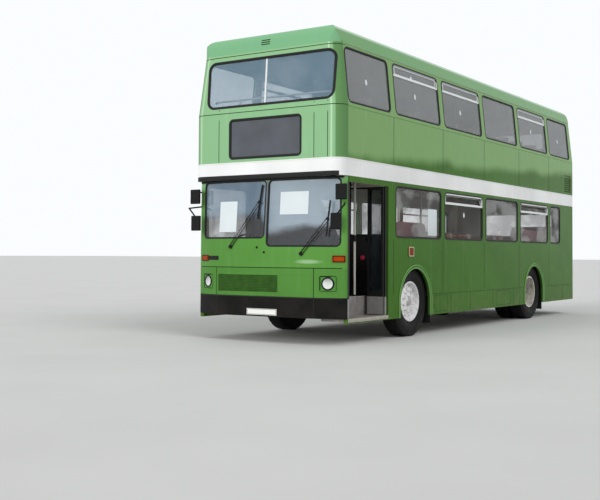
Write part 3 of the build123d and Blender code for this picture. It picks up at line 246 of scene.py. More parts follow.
# Chassis. Two welded steel rails that rise over the rear axle, with cross-members, outriggers, fuel
# tank, jacking pads and towing eyes, all in black chassis paint under road dust. Steel bands hold the tank.


def around(radius, sides):
    """Points round a circle."""
    return [(radius * cos(2 * pi * j / sides), radius * sin(2 * pi * j / sides)) for j in range(sides)]


class Shape:
    """The points and faces of one piece, gathered from simple forms."""

    def __init__(self):
        self.points = []
        self.faces = []

    def add(self, points, faces, move=None):
        first = len(self.points)
        self.points += [move @ Vector(p) if move else Vector(p) for p in points]
        self.faces += [[first + i for i in face] for face in faces]

    def rings(self, rings, closed=False, move=None):
        """A skin over rings of points, which runs round to the first ring or ends in two caps."""
        sides = len(rings[0])
        points = [p for ring in rings for p in ring]
        faces = []
        for i in range(len(rings) if closed else len(rings) - 1):
            a, b = i * sides, (i + 1) % len(rings) * sides
            faces += [(a + j, a + (j + 1) % sides, b + (j + 1) % sides, b + j) for j in range(sides)]
        if not closed:
            faces += [tuple(reversed(range(sides))), tuple(range(len(points) - sides, len(points)))]
        self.add(points, faces, move)

    def box(self, low, high, edge=0.004, steps=2, move=None):
        """A box with rounded edges."""
        form = bmesh.new()
        bmesh.ops.create_cube(form, size=1.0)
        for point in form.verts:
            point.co = Vector([(a + b) / 2 + c * (b - a) for a, b, c in zip(low, high, point.co)])
        edge = min(edge, min(b - a for a, b in zip(low, high)) * 0.45)
        bmesh.ops.bevel(form, geom=form.edges[:], offset=edge, segments=steps, affect="EDGES", profile=0.5)
        form.verts.index_update()
        faces = [[p.index for p in face.verts] for face in form.faces]
        self.add([p.co.copy() for p in form.verts], faces, move)
        form.free()

    def tube(self, path, radius, sides=10):
        """A round bar through a list of points."""
        path = [Vector(p) for p in path]
        rings = []
        beside = (path[1] - path[0]).orthogonal().normalized()
        for i, point in enumerate(path):
            run = (path[min(i + 1, len(path) - 1)] - path[max(i - 1, 0)]).normalized()
            beside = (beside - run * beside.dot(run)).normalized()
            other = run.cross(beside)
            rings.append([point + beside * p + other * q for p, q in around(radius, sides)])
        self.rings(rings)

    def turned(self, outline, steps, move):
        """A closed outline of (radius, offset) points turned about the Y axis."""
        rings = []
        for i in range(steps):
            a = 2 * pi * i / steps
            rings.append([(r * cos(a), u, r * sin(a)) for r, u in outline])
        self.rings(rings, True, move)

    def piece(self, name, slot, finish, body="root", smooth=35):
        """The shape as an object that rides on a body of the frame."""
        mesh = bpy.data.meshes.new(name)
        mesh.from_pydata(self.points, [], self.faces)
        form = bmesh.new()
        form.from_mesh(mesh)
        bmesh.ops.recalc_face_normals(form, faces=form.faces)
        form.to_mesh(mesh)
        form.free()
        mesh.materials.append(finish.material)
        mesh.shade_smooth()
        mesh.set_sharp_from_angle(angle=radians(smooth))
        made = bpy.data.objects.new(name, mesh)
        bpy.context.scene.collection.objects.link(made)
        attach(made, body)
        return made


def placed(x, y, z, turn=0.0, axis="Z"):
    """A move to a place, with a turn about one axis before it."""
    return Matrix.Translation((x, y, z)) @ Matrix.Rotation(turn, 4, axis)


def plain_finish(name, colour, roughness, spread=0.12, grain=8.0, metallic=0.0, dirt=0.0, shine=0.5,
                 grit=0.0002):
    """A painted or moulded surface: slow changes of shade, fine grain, and dust that gathers low down."""
    made = Finish(name, Metallic=metallic, Specular_IOR_Level=shine)
    cloud = made.noise(grain, 4.0)
    shade = made.mix(cloud.fade(0.25, 0.75), dull(colour, 1 - spread), colour)
    if dirt:
        low = made.axes()[2].fade(1.1, 0.25) * made.noise(grain * 0.6, 5.0).fade(0.35, 0.7) * dirt
        shade = made.mix(low, shade, paint(112, 100, 84))
    made.set(Base_Color=shade, Roughness=roughness + (cloud - 0.5) * 0.25,
             Normal=made.bump(made.noise(grain * 22, 2.0), grit))
    return made


chassis_black = plain_finish("chassis_black", paint(38, 37, 36), 0.6, dirt=0.5)
chassis_black.on("chassis_frame", "front_axle", "rear_axle")
tank_low, tank_high = Vector((-0.15, 0.52, 0.33)), Vector((0.55, 1.12, 0.54))
band_out = 0.003
band_edge = tank_high.y + band_out
tank_bands = Shape()
for x0, x1 in ((-0.03, 0.01), (0.39, 0.43)):
    tank_bands.box((x0, tank_low.y - band_out, tank_low.z - band_out), (x1, band_edge, tank_low.z), 0.001)
    tank_bands.box((x0, tank_high.y, tank_low.z), (x1, band_edge, tank_high.z), 0.001)
tank_bands.piece("tank_bands", "chassis_paint", chassis_black)

# Engine and gearbox. An upright rear engine hung between the tail rails, in dark green engine paint
# with oil and dust on it. Cast ribs stiffen its sump and its front.
engine_green = plain_finish("engine_green", paint(62, 74, 62), 0.45, 0.35, 5.0, dirt=0.6).on("engine_block")
engine_low, engine_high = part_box("engine_block")
rib_pitch, rib_half, rib_out = 0.11, 0.012, 0.012
engine_ribs = Shape()
for i in range(int((engine_high.y - engine_low.y) / rib_pitch)):
    y = engine_low.y + rib_pitch * (i + 0.5)
    engine_ribs.box((engine_low.x + 0.03, y - rib_half, engine_low.z - rib_out),
                    (engine_high.x - 0.03, y + rib_half, engine_low.z), 0.003)
    engine_ribs.box((engine_low.x - rib_out, y - rib_half, engine_low.z + 0.05),
                    (engine_low.x, y + rib_half, engine_high.z - 0.05), 0.003)
engine_ribs.piece("engine_ribs", "engine_paint", engine_green)

# Knuckles. Forged steel forks that turn on the axle's kingpins and carry the stubs of the front wheels.
# They are bare forgings under road dust.
knuckle_steel = plain_finish("knuckle_steel", paint(52, 49, 46), 0.55, 0.3, 14.0, 0.4, 0.5)
knuckle_steel.on("left_knuckle", "right_knuckle")

# Tyres. Black road tyres with zigzag grooves, shoulder blocks and rings moulded in the sidewall, greyed
# by dust near the tread.
tyre_radius = 0.520
axle_height = tyre_radius
front_axle_x, rear_axle_x = 2.670, -2.380
front_wheel_y, outer_twin_y, inner_twin_y = 1.045, 1.040, 0.720
tread_half = 0.105
groove_depth, groove_half, groove_foot = 0.011, 0.005, 0.003
groove_places = (-0.072, -0.026, 0.026, 0.072)
block_drop = 0.007
zigzag = 0.006
zigzags = 36                # bends of a groove round the tyre
steps_a_bend = 3
tyre_rubber = Finish("tyre_rubber", Specular_IOR_Level=0.25)
dust = tyre_rubber.noise(14, 5.0).fade(0.4, 0.75)
tyre_rubber.set(Base_Color=tyre_rubber.mix(dust * 0.55, paint(14, 14, 14), paint(34, 32, 28)),
                Roughness=0.62 + dust * 0.25, Normal=tyre_rubber.bump(tyre_rubber.noise(60, 2.0), 0.0004))
bead_seat, shoulder = (0.2865, 0.05, "wall"), (0.5155, 0.112, "shoulder")
sidewall = [(0.2865, 0.092), (0.299, 0.097), (0.306, 0.106), (0.318, 0.1085), (0.330, 0.1165),
            (0.338, 0.1160), (0.342, 0.1215), (0.362, 0.1300), (0.372, 0.1320), (0.376, 0.1360),
            (0.388, 0.1380), (0.392, 0.1365), (0.410, 0.1388), (0.430, 0.1382), (0.450, 0.1345),
            (0.468, 0.1295), (0.474, 0.1275), (0.478, 0.1290), (0.492, 0.1215), (0.503, 0.1180)]
groove = [(tyre_radius, -groove_half), (tyre_radius - groove_depth, -groove_foot),
          (tyre_radius - groove_depth, groove_foot), (tyre_radius, groove_half)]


def tyre(shape, x, y):
    """One tyre about an axle at x, with its middle at y."""
    half = [bead_seat] + [(r, u, "wall") for r, u in sidewall]
    half += [shoulder, (tyre_radius, tread_half, "shoulder")]
    tread = [(r, middle + u, "groove") for middle in groove_places for r, u in groove]
    outline = [(r, -u, kind) for r, u, kind in half] + tread + half[::-1]
    rings = []
    for i in range(zigzags * steps_a_bend * 2):
        a = pi * i / zigzags / steps_a_bend
        step = i % (2 * steps_a_bend)
        shift = zigzag * (1 - abs(step / steps_a_bend - 1) * 2)
        drop = 0.0 if step else block_drop
        section = [(r - (drop if kind == "shoulder" else 0), u + (shift if kind == "groove" else 0))
                   for r, u, kind in outline]
        rings.append([(r * cos(a), u, r * sin(a)) for r, u in section])
    shape.rings(rings, True, placed(x, y, axle_height))


wheels = []                 # name of the wheel set, its body, its tyre node, its axle and its side
for side_name, side in (("left", 1), ("right", -1)):
    for end, s, x in (("front", "", front_axle_x), ("rear", "s", rear_axle_x)):
        name = f"{end}_{side_name}"
        wheels.append((name, f"{name}_wheel{s}", f"{name}_tyre{s}", x, side))
for name, body, node, x, side in wheels:
    shape = Shape()
    for y in (front_wheel_y,) if x > 0 else (outer_twin_y, inner_twin_y):
        tyre(shape, x, side * y)
    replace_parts(shape.piece(f"{name}_treaded_tyres", "tyre_rubber", tyre_rubber, body, 28), node)

# Wheels. Steel disc wheels: the front ones have a pierced silver disc held by ten studs round the hub,
# and the rear ones a deep cream dish. Nuts and hub caps are separate pressings.


def wheel_finish(name, colour, stain_and_shade_colour, amount, axle_x, darker_within):
    """Wheel enamel, dusty all over, and darker inside a given radius: stained round the studs, and in the
    deep rear dish painted shade.
    """
    made = Finish(name, Metallic=0.1)
    x, z = made.axes()[::2]
    radius = ((x - axle_x) * (x - axle_x) + (z - axle_height) * (z - axle_height)) ** 0.5
    stain_and_shade = (made.noise(16, 5.0) + radius.fade(darker_within, darker_within - 0.06) * 0.3).fade(0.50, 0.72) * amount
    film = made.noise(3.0, 3.0).fade(0.3, 0.8) * 0.25
    chips = made.cells(70).fade(0.10, 0.04) * made.noise(9, 2.0).fade(0.55, 0.7)
    shade = made.mix(stain_and_shade, made.mix(film, colour, dull(colour, 0.75)), stain_and_shade_colour)
    made.set(Base_Color=made.mix(chips, shade, paint(92, 70, 52)), Roughness=0.38 + stain_and_shade * 0.4,
             Normal=made.bump(made.noise(120, 2.0), 0.0003))
    return made


silver = wheel_finish("wheel_silver", paint(226, 224, 225), paint(120, 112, 110), 0.6, front_axle_x, 0.10)
silver.on("front_left_rim", "front_right_rim")
# Painted shade: the cream dish is darkened inside 0.225 m, where it is deep, along with real stain.
cream = wheel_finish("wheel_cream", paint(208, 203, 193), paint(104, 100, 94), 0.8, rear_axle_x, 0.225)
cream.on("rear_left_rims", "rear_right_rims")
nut_radius, nut_height, stud_radius, stud_height = 0.017, 0.020, 0.0085, 0.032
front_disc_y = front_wheel_y + 0.074
rear_disc_y = (outer_twin_y + inner_twin_y) / 2 + 0.014
front_cap = [(0.072, 0.010), (0.070, 0.018), (0.052, 0.030), (0.026, 0.035), (0.0005, 0.036), (0.0005, 0.010)]
rear_cap = [(0.100, 0.128), (0.098, 0.138), (0.078, 0.150), (0.040, 0.156), (0.0005, 0.157), (0.0005, 0.128)]
rim_trim = [(0.262, -0.029), (0.274, 0.032), (0.280, 0.038), (0.287, 0.039), (0.293, 0.0375), (0.296, 0.036),
            (0.290, 0.0345), (0.280, 0.033)]
drum_edge = [(0.208, -0.054), (0.208, -0.045), (0.259, -0.045), (0.259, -0.054)]


def nuts(shape, x, y, side, circle, count=10):
    """A ring of hexagonal nuts on their studs, on a face that looks outwards."""
    for i in range(count):
        a = 2 * pi * (i + 0.5) / count
        move = placed(x + circle * cos(a), y, axle_height + circle * sin(a))
        for radius, sides, height in ((nut_radius, 6, nut_height), (stud_radius, 10, stud_height)):
            shape.rings([[(p * share, side * height * out, q * share) for p, q in around(radius, sides)]
                         for share, out in ((1, 0), (1, 0.85), (0.8, 1))], move=move)


for name, body, node, x, side in wheels:
    front = x > 0
    hardware = Shape()
    y = side * (front_disc_y if front else rear_disc_y)
    hub = placed(x, y, axle_height)
    nuts(hardware, x, y, side, 0.155 if front else 0.168)
    if front:
        hardware.turned([(r, side * u) for r, u in rim_trim], 72, hub)
        drum = Shape()
        drum.turned([(r, side * u) for r, u in drum_edge], 60, hub)
        drum.piece(f"{name}_drum_edge", "chassis_paint", chassis_black, body)
    hardware.turned([(r, side * u) for r, u in (front_cap if front else rear_cap)], 36, hub)
    finish, slot = (silver, "front_wheel_paint") if front else (cream, "rear_wheel_paint")
    hardware.piece(f"{name}_nuts_and_cap", slot, finish, body)

# Floors. Plywood under ribbed vinyl, pale laminate below, with a grey entrance step and black boxes
# over the wheels.
vinyl = Finish("floor_vinyl", Roughness=0.55)
worn = vinyl.noise(2.2, 4.0)
upper_face = vinyl.looks()[2].fade(-0.1, 0.1)
tread_shade = vinyl.mix(worn, paint(58, 57, 56), paint(78, 75, 71))
tread_shade = vinyl.mix(vinyl.cells(160).fade(0.16, 0.10) * 0.5, tread_shade, paint(120, 116, 108))
under_shade = vinyl.mix(worn, paint(188, 182, 164), paint(202, 197, 180))
vinyl.set(Base_Color=vinyl.mix(upper_face, under_shade, tread_shade),
          Normal=vinyl.bump((vinyl.axes()[1] * 500.0).wave() * upper_face, 0.0012))
vinyl.on("lower_floor", "rear_floor", "upper_floor")
plain_finish("step_grey", paint(140, 137, 134), 0.55, 0.3, 9.0, dirt=0.2).on("entrance_step")
plain_finish("wheel_box_black", paint(44, 43, 42), 0.7, 0.2, 6.0, dirt=0.8).on("wheel_boxes")

# Body panels. Steel and alloy sheets on pressed pillars, sprayed green. The paint has bleached in clouds
# and streaks, is paler towards the top with a painted sky reflection, and is dusty along the skirt, and
# cream laminate lines the inner faces.
body_low, body_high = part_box("cantrail_band")
half_length, half_width = body_high.x, body_high.y
waist, cove = 3.200, 4.050  # the sides lean in above the waist
side_slope, front_slope, rear_slope = 0.086 / 0.85, 0.060 / 0.85, 0.020 / 0.85
upper_corner = 0.190
green, sky_and_bleach_green = paint(62, 108, 28), paint(132, 170, 112)
cream_lining = paint(196, 190, 168)


def coachwork(name, colour, sky_and_bleach, dirt, pale_from=2.80, lining=cream_lining):
    """Sprayed panels outside and lining inside, told apart by which way a face looks."""
    made = Finish(name, IOR=1.2, Specular_IOR_Level=0.3)
    x, y, z = made.axes()
    nx, ny, nz = made.looks()
    outside = (nx * x + ny * y * 4.0 + nz * z).fade(-0.15, 0.15).most(z.fade(1.12, 1.10))
    streak = made.noise(6.0, 5.0, (1.5, 1.5, 0.14)).fade(0.50, 0.78)
    shade = made.mix(made.noise(0.8, 5.0).fade(0.3, 0.7), dull(colour, 0.84), colour)
    # Paler from pale_from upwards: a painted sky reflection together with sun-bleached paint.
    pale = (z + x * 0.045 + made.noise(0.9, 3.0, (1, 1, 0.4)) * 0.35).fade(pale_from, pale_from + 0.20)
    shade = made.mix(pale * 0.80 + streak * 0.08, shade, sky_and_bleach)
    low = (z + made.noise(2.0, 4.0) * 0.5).fade(1.05, 0.45) * made.noise(7.0, 5.0).fade(0.3, 0.75) * dirt
    shade = made.mix(low, shade, paint(126, 116, 92))
    scrape = made.noise(38.0, 2.0, (0.2, 0.2, 2.4)).fade(0.71, 0.76) * made.noise(1.7, 2.0).fade(0.56, 0.70)
    shade = made.mix(scrape * 0.5, shade, dull(colour, 0.4))
    inner = made.mix(made.noise(3.0, 4.0), dull(lining, 0.82), lining)
    waves = made.bump(made.noise(1.3, 2.0, (1, 1, 1.5)), 0.010)
    made.set(Base_Color=made.mix(outside, inner, shade),
             Normal=made.bump(made.noise(240.0, 1.0), 0.00006, waves),
             Roughness=0.24 + streak * 0.12 + low * 0.4 + (1 - outside) * 0.25)
    return made


side_green = coachwork("side_green", green, sky_and_bleach_green, 0.25)
side_green.on("nearside_lower_wall", "offside_lower_wall", "rear_lower_panel", "nearside_upper_wall",
              "offside_upper_wall", "upper_rear_panel", "engine_cover")
# The front's green is a lighter copy of the sides' green: painted light, for the sun falling on the front.
sunlit_front_green = coachwork("sunlit_front_green", paint(88, 142, 64), paint(142, 184, 142), 0.2, 2.45)
y, z = sunlit_front_green.axes()[1:]
nx, ny = sunlit_front_green.looks()[:2]
ahead = nx.fade(0.0, 0.1)
# Painted reflection: a pale oval patch on the front, below the left-hand windscreen.
patch_y, patch_z, patch_half_y, patch_half_z = 0.74, 1.115, 0.24, 0.035
aside, down = (y - patch_y) / patch_half_y, (z - patch_z) / patch_half_z
pale_reflection_patch = (aside * aside + down * down + sunlit_front_green.noise(26.0, 3.0, (1, 0.25, 1.6)) - 0.5).fade(1.0, 0.0)
shade = sunlit_front_green.mix(pale_reflection_patch * ahead * 0.55, sunlit_front_green.now("Base Color"), paint(168, 196, 160))
shade = sunlit_front_green.mix(z.fade(1.025, 1.015) * ahead * 0.3, shade, paint(58, 104, 44))
# Painted highlight and painted shade on the upper front corners: a pale line where each corner begins to
# turn, and a darker green where it faces sideways.
upper_corners = z.fade(2.40, 2.42) * (y * ny).fade(0.0, 0.1)
edge_light = (1.0 - (ny.size() - 0.20).size() / 0.10).most(0.0) * upper_corners * 0.6
shade = sunlit_front_green.mix(edge_light, shade, paint(206, 228, 196))
shade = sunlit_front_green.mix(ny.size().fade(0.40, 0.55) * upper_corners * 0.85, shade, paint(82, 122, 70))
sunlit_front_green.set(Base_Color=shade)
sunlit_front_green.on("front_lower_panel", "upper_front_panel")


def side_face(side):
    """Places on a side, +1 left or -1 right, by (x, z): the point and the direction that it faces."""
    def place(x, z):
        lean = max(z - waist, 0.0)
        turn = half_length - front_slope * lean - upper_corner
        angle = asin(min(max((x - turn) / upper_corner, 0.0), 1.0)) if z > body_high.z else 0.0
        y = half_width - side_slope * lean - upper_corner * (1 - cos(angle))
        normal = Vector((sin(angle), side * cos(angle), side_slope if lean else 0.0)).normalized()
        return Vector((x, side * y, z)), normal
    return place


front_flat, sweep_back = 0.820, 0.170
screen_rake, screen_foot, screen_bend = 0.070, 1.300, 1.200
screen_slope = screen_rake / (body_low.z - screen_foot)


def lower_front(y, z):
    """Places on the front below the white band, by (y, z)."""
    rake = min(max((z - screen_foot) * screen_slope, 0.0), screen_rake)
    turn = atan2(sweep_back - rake, half_width - front_flat)
    past = abs(y) - front_flat + screen_bend * tan(turn / 2)
    angle = min(asin(min(max(past, 0.0) / screen_bend, 1.0)), turn)
    back = (abs(y) - front_flat) * tan(turn) if angle == turn else screen_bend * (1 - cos(angle))
    normal = Vector((cos(angle), sin(angle) * (1 if y > 0 else -1), screen_slope if z > screen_foot else 0.0))
    return Vector((half_length - rake - back, y, z)), normal.normalized()


def upper_front(y, z):
    """Places on the front above the white band, round both corners, by (y, z)."""
    lean = max(z - waist, 0.0)
    start = half_width - side_slope * lean - upper_corner
    angle = asin(min(max((abs(y) - start) / upper_corner, 0.0), 1.0))
    x = half_length - front_slope * lean - upper_corner * (1 - cos(angle))
    normal = Vector((cos(angle), sin(angle) * (1 if y > 0 else -1), front_slope if lean else 0.0))
    return Vector((x, y, z)), normal.normalized()


def rear_face(y, z):
    """Places on the flat of the back, by (y, z)."""
    lean = max(z - waist, 0.0)
    normal = Vector((-1, 0, rear_slope if lean else 0)).normalized()
    return Vector((rear_slope * lean - half_length, y, z)), normal


def bead(shape, path, face, profile, closed=False):
    """A moulding along a path of (u, v) places on a face. Its profile is in (aside, outwards) points,
    where aside is to the right of the path as seen from outside the closed loop."""
    rings = []
    last = len(path) - 1
    near = 0.002
    for i, (u, v) in enumerate(path):
        before = path[i - 1] if closed or i else path[0]
        after = path[(i + 1) % len(path)] if closed or i < last else path[last]
        du, dv = after[0] - before[0], after[1] - before[1]
        run = sqrt(du * du + dv * dv)
        point, normal = face(u, v)
        aside = (face(u + near * dv / run, v - near * du / run)[0] - point).normalized()
        rings.append([point + aside * p + normal * q for p, q in profile])
    shape.rings(rings, closed)


def line(u0, v0, u1, v1, pitch=0.2):
    """Places along a straight line."""
    count = max(ceil(sqrt((u1 - u0) ** 2 + (v1 - v0) ** 2) / pitch), 1)
    return [(u0 + (u1 - u0) * i / count, v0 + (v1 - v0) * i / count) for i in range(count + 1)]


def loop(u0, u1, v0, v1, radius, steps=5, pitch=0.12):
    """Places round a rectangle with rounded corners."""
    path = []
    corners = [(u1 - radius, v1 - radius), (u0 + radius, v1 - radius), (u0 + radius, v0 + radius),
               (u1 - radius, v0 + radius)]
    arcs = []
    for i, (u, v) in enumerate(corners):
        angles = [radians(90 * (i + j / steps)) for j in range(steps + 1)]
        arcs.append([(u + radius * cos(a), v + radius * sin(a)) for a in angles])
    for arc, following in zip(arcs, arcs[1:] + arcs[:1]):
        path += arc + line(*arc[-1], *following[0], pitch)[1:-1]
    return path


def strip(half, proud):
    """Profile of a flat cover strip with eased edges."""
    return [(-half, -0.002), (-half, proud * 0.5), (-half * 0.6, proud),
            (half * 0.6, proud), (half, proud * 0.5), (half, -0.002)]


front_bay, rear_bay, bays = 1.469, 1.621, 4
bay_pitch = (2 * half_length - front_bay - rear_bay) / bays
pillars = [half_length - front_bay - bay_pitch * i for i in range(bays + 1)]
band_foot, band_top = body_low.z, body_high.z
skirt_low, skirt_high = 0.302, 0.625
skirt_stretches = ((0.16 - half_length, -2.932), (-1.828, 2.118))
skirt_joints = (-1.30, -0.32, 0.66, 1.42, -4.05)
side_ends = (0.17 - half_length, half_length - 0.2)
front_half = 1.19           # how far the front's trim reaches either way
seam = strip(0.0050, 0.0010)
seam_green = plain_finish("seam_green", paint(24, 42, 18), 0.7, 0.2, shine=0.15)
seams, covers = Shape(), Shape()
seam_foot, seam_head = 0.640, 1.440     # heights of a seam beside a lower deck pillar
for side in (1, -1):
    face = side_face(side)
    for x in pillars:
        bead(seams, line(x, band_top + 0.01, x, waist - 0.012), face, seam)
        bead(seams, line(x, seam_foot, x, seam_head), face, seam)
    for x0, x1 in skirt_stretches:
        bead(covers, line(x0, skirt_high, x1, skirt_high), face, strip(0.006, 0.0022))
        bead(seams, line(x0, skirt_high - 0.007, x1, skirt_high - 0.007), face, seam)
    for x in skirt_joints:
        bead(seams, line(x, skirt_low, x, skirt_high - 0.01), face, seam)
    for shape, z, profile in ((covers, waist - 0.004, strip(0.005, 0.0018)),
                              (seams, waist - 0.011, strip(0.0016, 0.0008))):
        bead(shape, line(side_ends[0], z, side_ends[1], z), face, profile)
covers.piece("side_cover_strips", "green_paint", side_green)


def round_front(z):
    """Places across the upper front and round its corners, from right to left."""
    flat = half_width - upper_corner - side_slope * max(z - waist, 0.0)
    left = [(flat + upper_corner * sin(radians(6 * i)), z) for i in range(16)]
    return [(-y, z) for y, z in reversed(left)] + line(-left[0][0], z, left[0][0], z)[1:-1] + left


for y in (-0.777, 0.829, 1.044):
    bead(seams, line(y, band_top + 0.01, y, 3.262), upper_front, seam)
for z in (waist + 0.002, cove - 0.03):
    bead(seams, round_front(z), upper_front, seam)
for y in (-0.5, 0.0, 0.5):
    bead(seams, line(y, band_top + 0.01, y, waist), rear_face, seam)
seams.piece("side_panel_seams", "green_paint", seam_green)
front_seams, front_covers, jets = Shape(), Shape(), Shape()
front_seam_z, fold_z = 1.029, 0.652
front_joints = (-0.82, 0.82)
for y in front_joints:
    bead(front_seams, line(y, seam_foot, y, front_seam_z - 0.005), lower_front, seam)
bead(front_seams, line(-front_half, front_seam_z, front_half, front_seam_z, 0.04), lower_front, seam)
front_seams.piece("front_panel_seams", "green_paint", seam_green)
for half, z in ((front_half, front_seam_z + 0.012), (0.81, fold_z)):
    bead(front_covers, line(-half, z, half, z, 0.04), lower_front, strip(0.006, 0.003))
front_covers.piece("front_cover_strips", "green_paint", sunlit_front_green)


def standing(point, normal):
    """A move that stands a turned shape on a face, its Y axis outwards."""
    return Matrix.Translation(point) @ Vector((0, 1, 0)).rotation_difference(normal).to_matrix().to_4x4()


jet = [(0.017, 0.0), (0.017, 0.004), (0.009, 0.008), (0.0005, 0.008), (0.0005, 0.0)]
for y, z in ((-0.099, 1.307), (0.021, 1.240)):
    jets.turned(jet, 16, standing(*lower_front(y, z)))
jets.piece("washer_jets", "grille_paint", seam_green)

# Rivets. Domed aluminium rivets painted over with the panels, along the top of the sides' skirt panels
# and beside the joints of the upper panels.
rivet_radius, rivet_pitch = 0.0045, 0.105
rivet_sections = ((1, -0.0005), (0.85, 0.0012), (0.35, 0.0019))      # share of the radius, outwards


def disc(shape, face, u, v, radius, sections, sides, tall=1.0):
    """A small round or oval thing on a face, from a skin over its sections."""
    point, normal = face(u, v)
    ring = around(radius, sides)
    shape.rings([[(p * share, tall * q * share, out) for p, q in ring] for share, out in sections],
                move=Matrix.Translation(point) @ normal.to_track_quat("Z", "Y").to_matrix().to_4x4())


rivets = Shape()
for side in (1, -1):
    places = [(x + beside, band_top + 0.06 + 0.115 * i)
              for x in pillars for i in range(6) for beside in (-0.016, 0.016)]
    places += [(x0 + rivet_pitch * (i + 0.5), skirt_high + 0.022)
               for x0, x1 in skirt_stretches for i in range(int((x1 - x0) / rivet_pitch))]
    for x, z in places:
        disc(rivets, side_face(side), x, z, rivet_radius, rivet_sections, 6)
rivets.piece("panel_rivets", "green_paint", side_green)

# White band. Panels over the joint between the decks, in off-white paint, with a moulding along each
# edge and a black rubber hood over the windscreen.
band_white = coachwork("band_white", paint(234, 235, 235), paint(226, 224, 218), 0.0).on("cantrail_band")
moulding, band_joint = strip(0.007, 0.004), strip(0.002, 0.0008)
corner_x = half_length - upper_corner
band_edges = Shape()
for z in (band_foot + 0.008, band_top - 0.008):
    for side in (1, -1):
        bead(band_edges, line(0.16 - half_length, z, corner_x, z), side_face(side), moulding)
    bead(band_edges, round_front(z), upper_front, moulding)
    bead(band_edges, line(-1.09, z, 1.09, z), rear_face, moulding)
for x in (*pillars, corner_x):
    for side in (1, -1):
        bead(band_edges, line(x, band_foot + 0.016, x, band_top - 0.016), side_face(side), band_joint)
band_edges.piece("band_mouldings", "white_paint", band_white)
rubber = Finish("glazing_rubber", Specular_IOR_Level=0.3)
rubber_wear = rubber.noise(18.0, 4.0)
rubber.set(Base_Color=rubber.mix(rubber_wear, paint(16, 17, 17), paint(40, 41, 40)),
           Roughness=0.5 + rubber_wear * 0.25, Normal=rubber.bump(rubber.noise(150.0, 2.0), 0.0003))
hood = Shape()
hood_lip = [(-0.012, -0.003), (-0.013, 0.010), (-0.009, 0.018),
            (0.006, 0.020), (0.013, 0.014), (0.014, -0.003)]
hood_sheet = [(-0.032, -0.002), (-0.032, 0.0040), (-0.029, 0.0055),
              (0.028, 0.0055), (0.031, 0.0040), (0.031, -0.002)]
bead(hood, line(-1.20, band_foot - 0.014, 1.20, band_foot - 0.014, 0.06), lower_front, hood_lip)
bead(hood, line(-1.20, band_foot + 0.026, 1.19, band_foot + 0.026, 0.03), upper_front, hood_sheet)
hood.piece("windscreen_hood", "tyre_rubber", rubber)

# Roof. Alloy panels on hoops between two moulded domes, painted green, with a lapped joint at each
# hoop, a rain gutter along each cove and a slotted vent in the front dome.
roof_lining = paint(206, 206, 190)
# The roof's green is lighter than the sides': a painted highlight where it faces the sky, together with
# sun-bleached paint.
roof_green = coachwork("roof_green", paint(96, 160, 84), paint(120, 168, 132), 0.0, lining=roof_lining)
nx, ny = roof_green.looks()[:2]
cove_side = (roof_green.axes()[1] * ny).fade(0.0, 0.1)
# Painted shade: the upright foot of each cove, which faces sideways, is a darker green.
cove_foot_shade = ny.size().fade(0.82, 0.97) * cove_side * 0.8
shade = roof_green.mix(cove_foot_shade, roof_green.now("Base Color"), paint(104, 148, 84))
# Painted highlight: a pale band along the curve of each cove, where it turns up towards the sky.
cove_top_highlight = ny.size().fade(0.16, 0.35) * ny.size().fade(0.92, 0.76) * cove_side * nx.size().fade(0.12, 0.04)
roof_green.set(Base_Color=roof_green.mix(cove_top_highlight * 0.8, shade, paint(190, 208, 186)))
roof_green.on("roof")
roof_drop, roof_turn = 0.100, 1.060
roof_bow = (roof_turn ** 2 + roof_drop ** 2) / (2 * roof_drop)
bow_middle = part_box("roof")[1].z - roof_bow


def roof_point(x, y):
    """A place on the level stretch of the roof, by (x, y)."""
    up = sqrt(roof_bow ** 2 - y * y)
    return Vector((x, y, bow_middle + up)), Vector((0, y, up)).normalized()


roof_laps = Shape()
rear_dome, front_dome = -4.0, 3.9
lap_reach, lap_proud = 0.98, 0.0018
for x in (*pillars, rear_dome, front_dome):
    bead(roof_laps, line(x, -lap_reach, x, lap_reach, 0.08), roof_point, strip(0.016, lap_proud))
for y in (-0.52, 0.52):
    bead(roof_laps, line(rear_dome + 0.05, y, front_dome - 0.05, y), roof_point, strip(0.012, lap_proud))
gutter = [(-0.008, -0.002), (-0.008, 0.006), (-0.004, 0.011), (0.002, 0.012), (0.007, 0.008), (0.009, -0.002)]
gutter_z = cove - 0.006
for side in (1, -1):
    bead(roof_laps, line(0.2 - half_length, gutter_z, half_length - 0.26, gutter_z), side_face(side), gutter)
roof_laps.piece("roof_laps_and_gutters", "roof_paint", roof_green)
slot_heights, slot_right, slot_left, slot_half = (4.135, 4.165, 4.195), -0.100, 0.045, 0.006
dome_x, dome_slope = 4.785, 0.19
dome_vent = Shape()
for z in slot_heights:
    x = dome_x - (z - cove) * dome_slope
    dome_vent.box((x - 0.02, slot_right, z - slot_half), (x + 0.006, slot_left, z + slot_half), 0.003)
dome_vent.piece("dome_vent_slots", "grille_paint", seam_green)

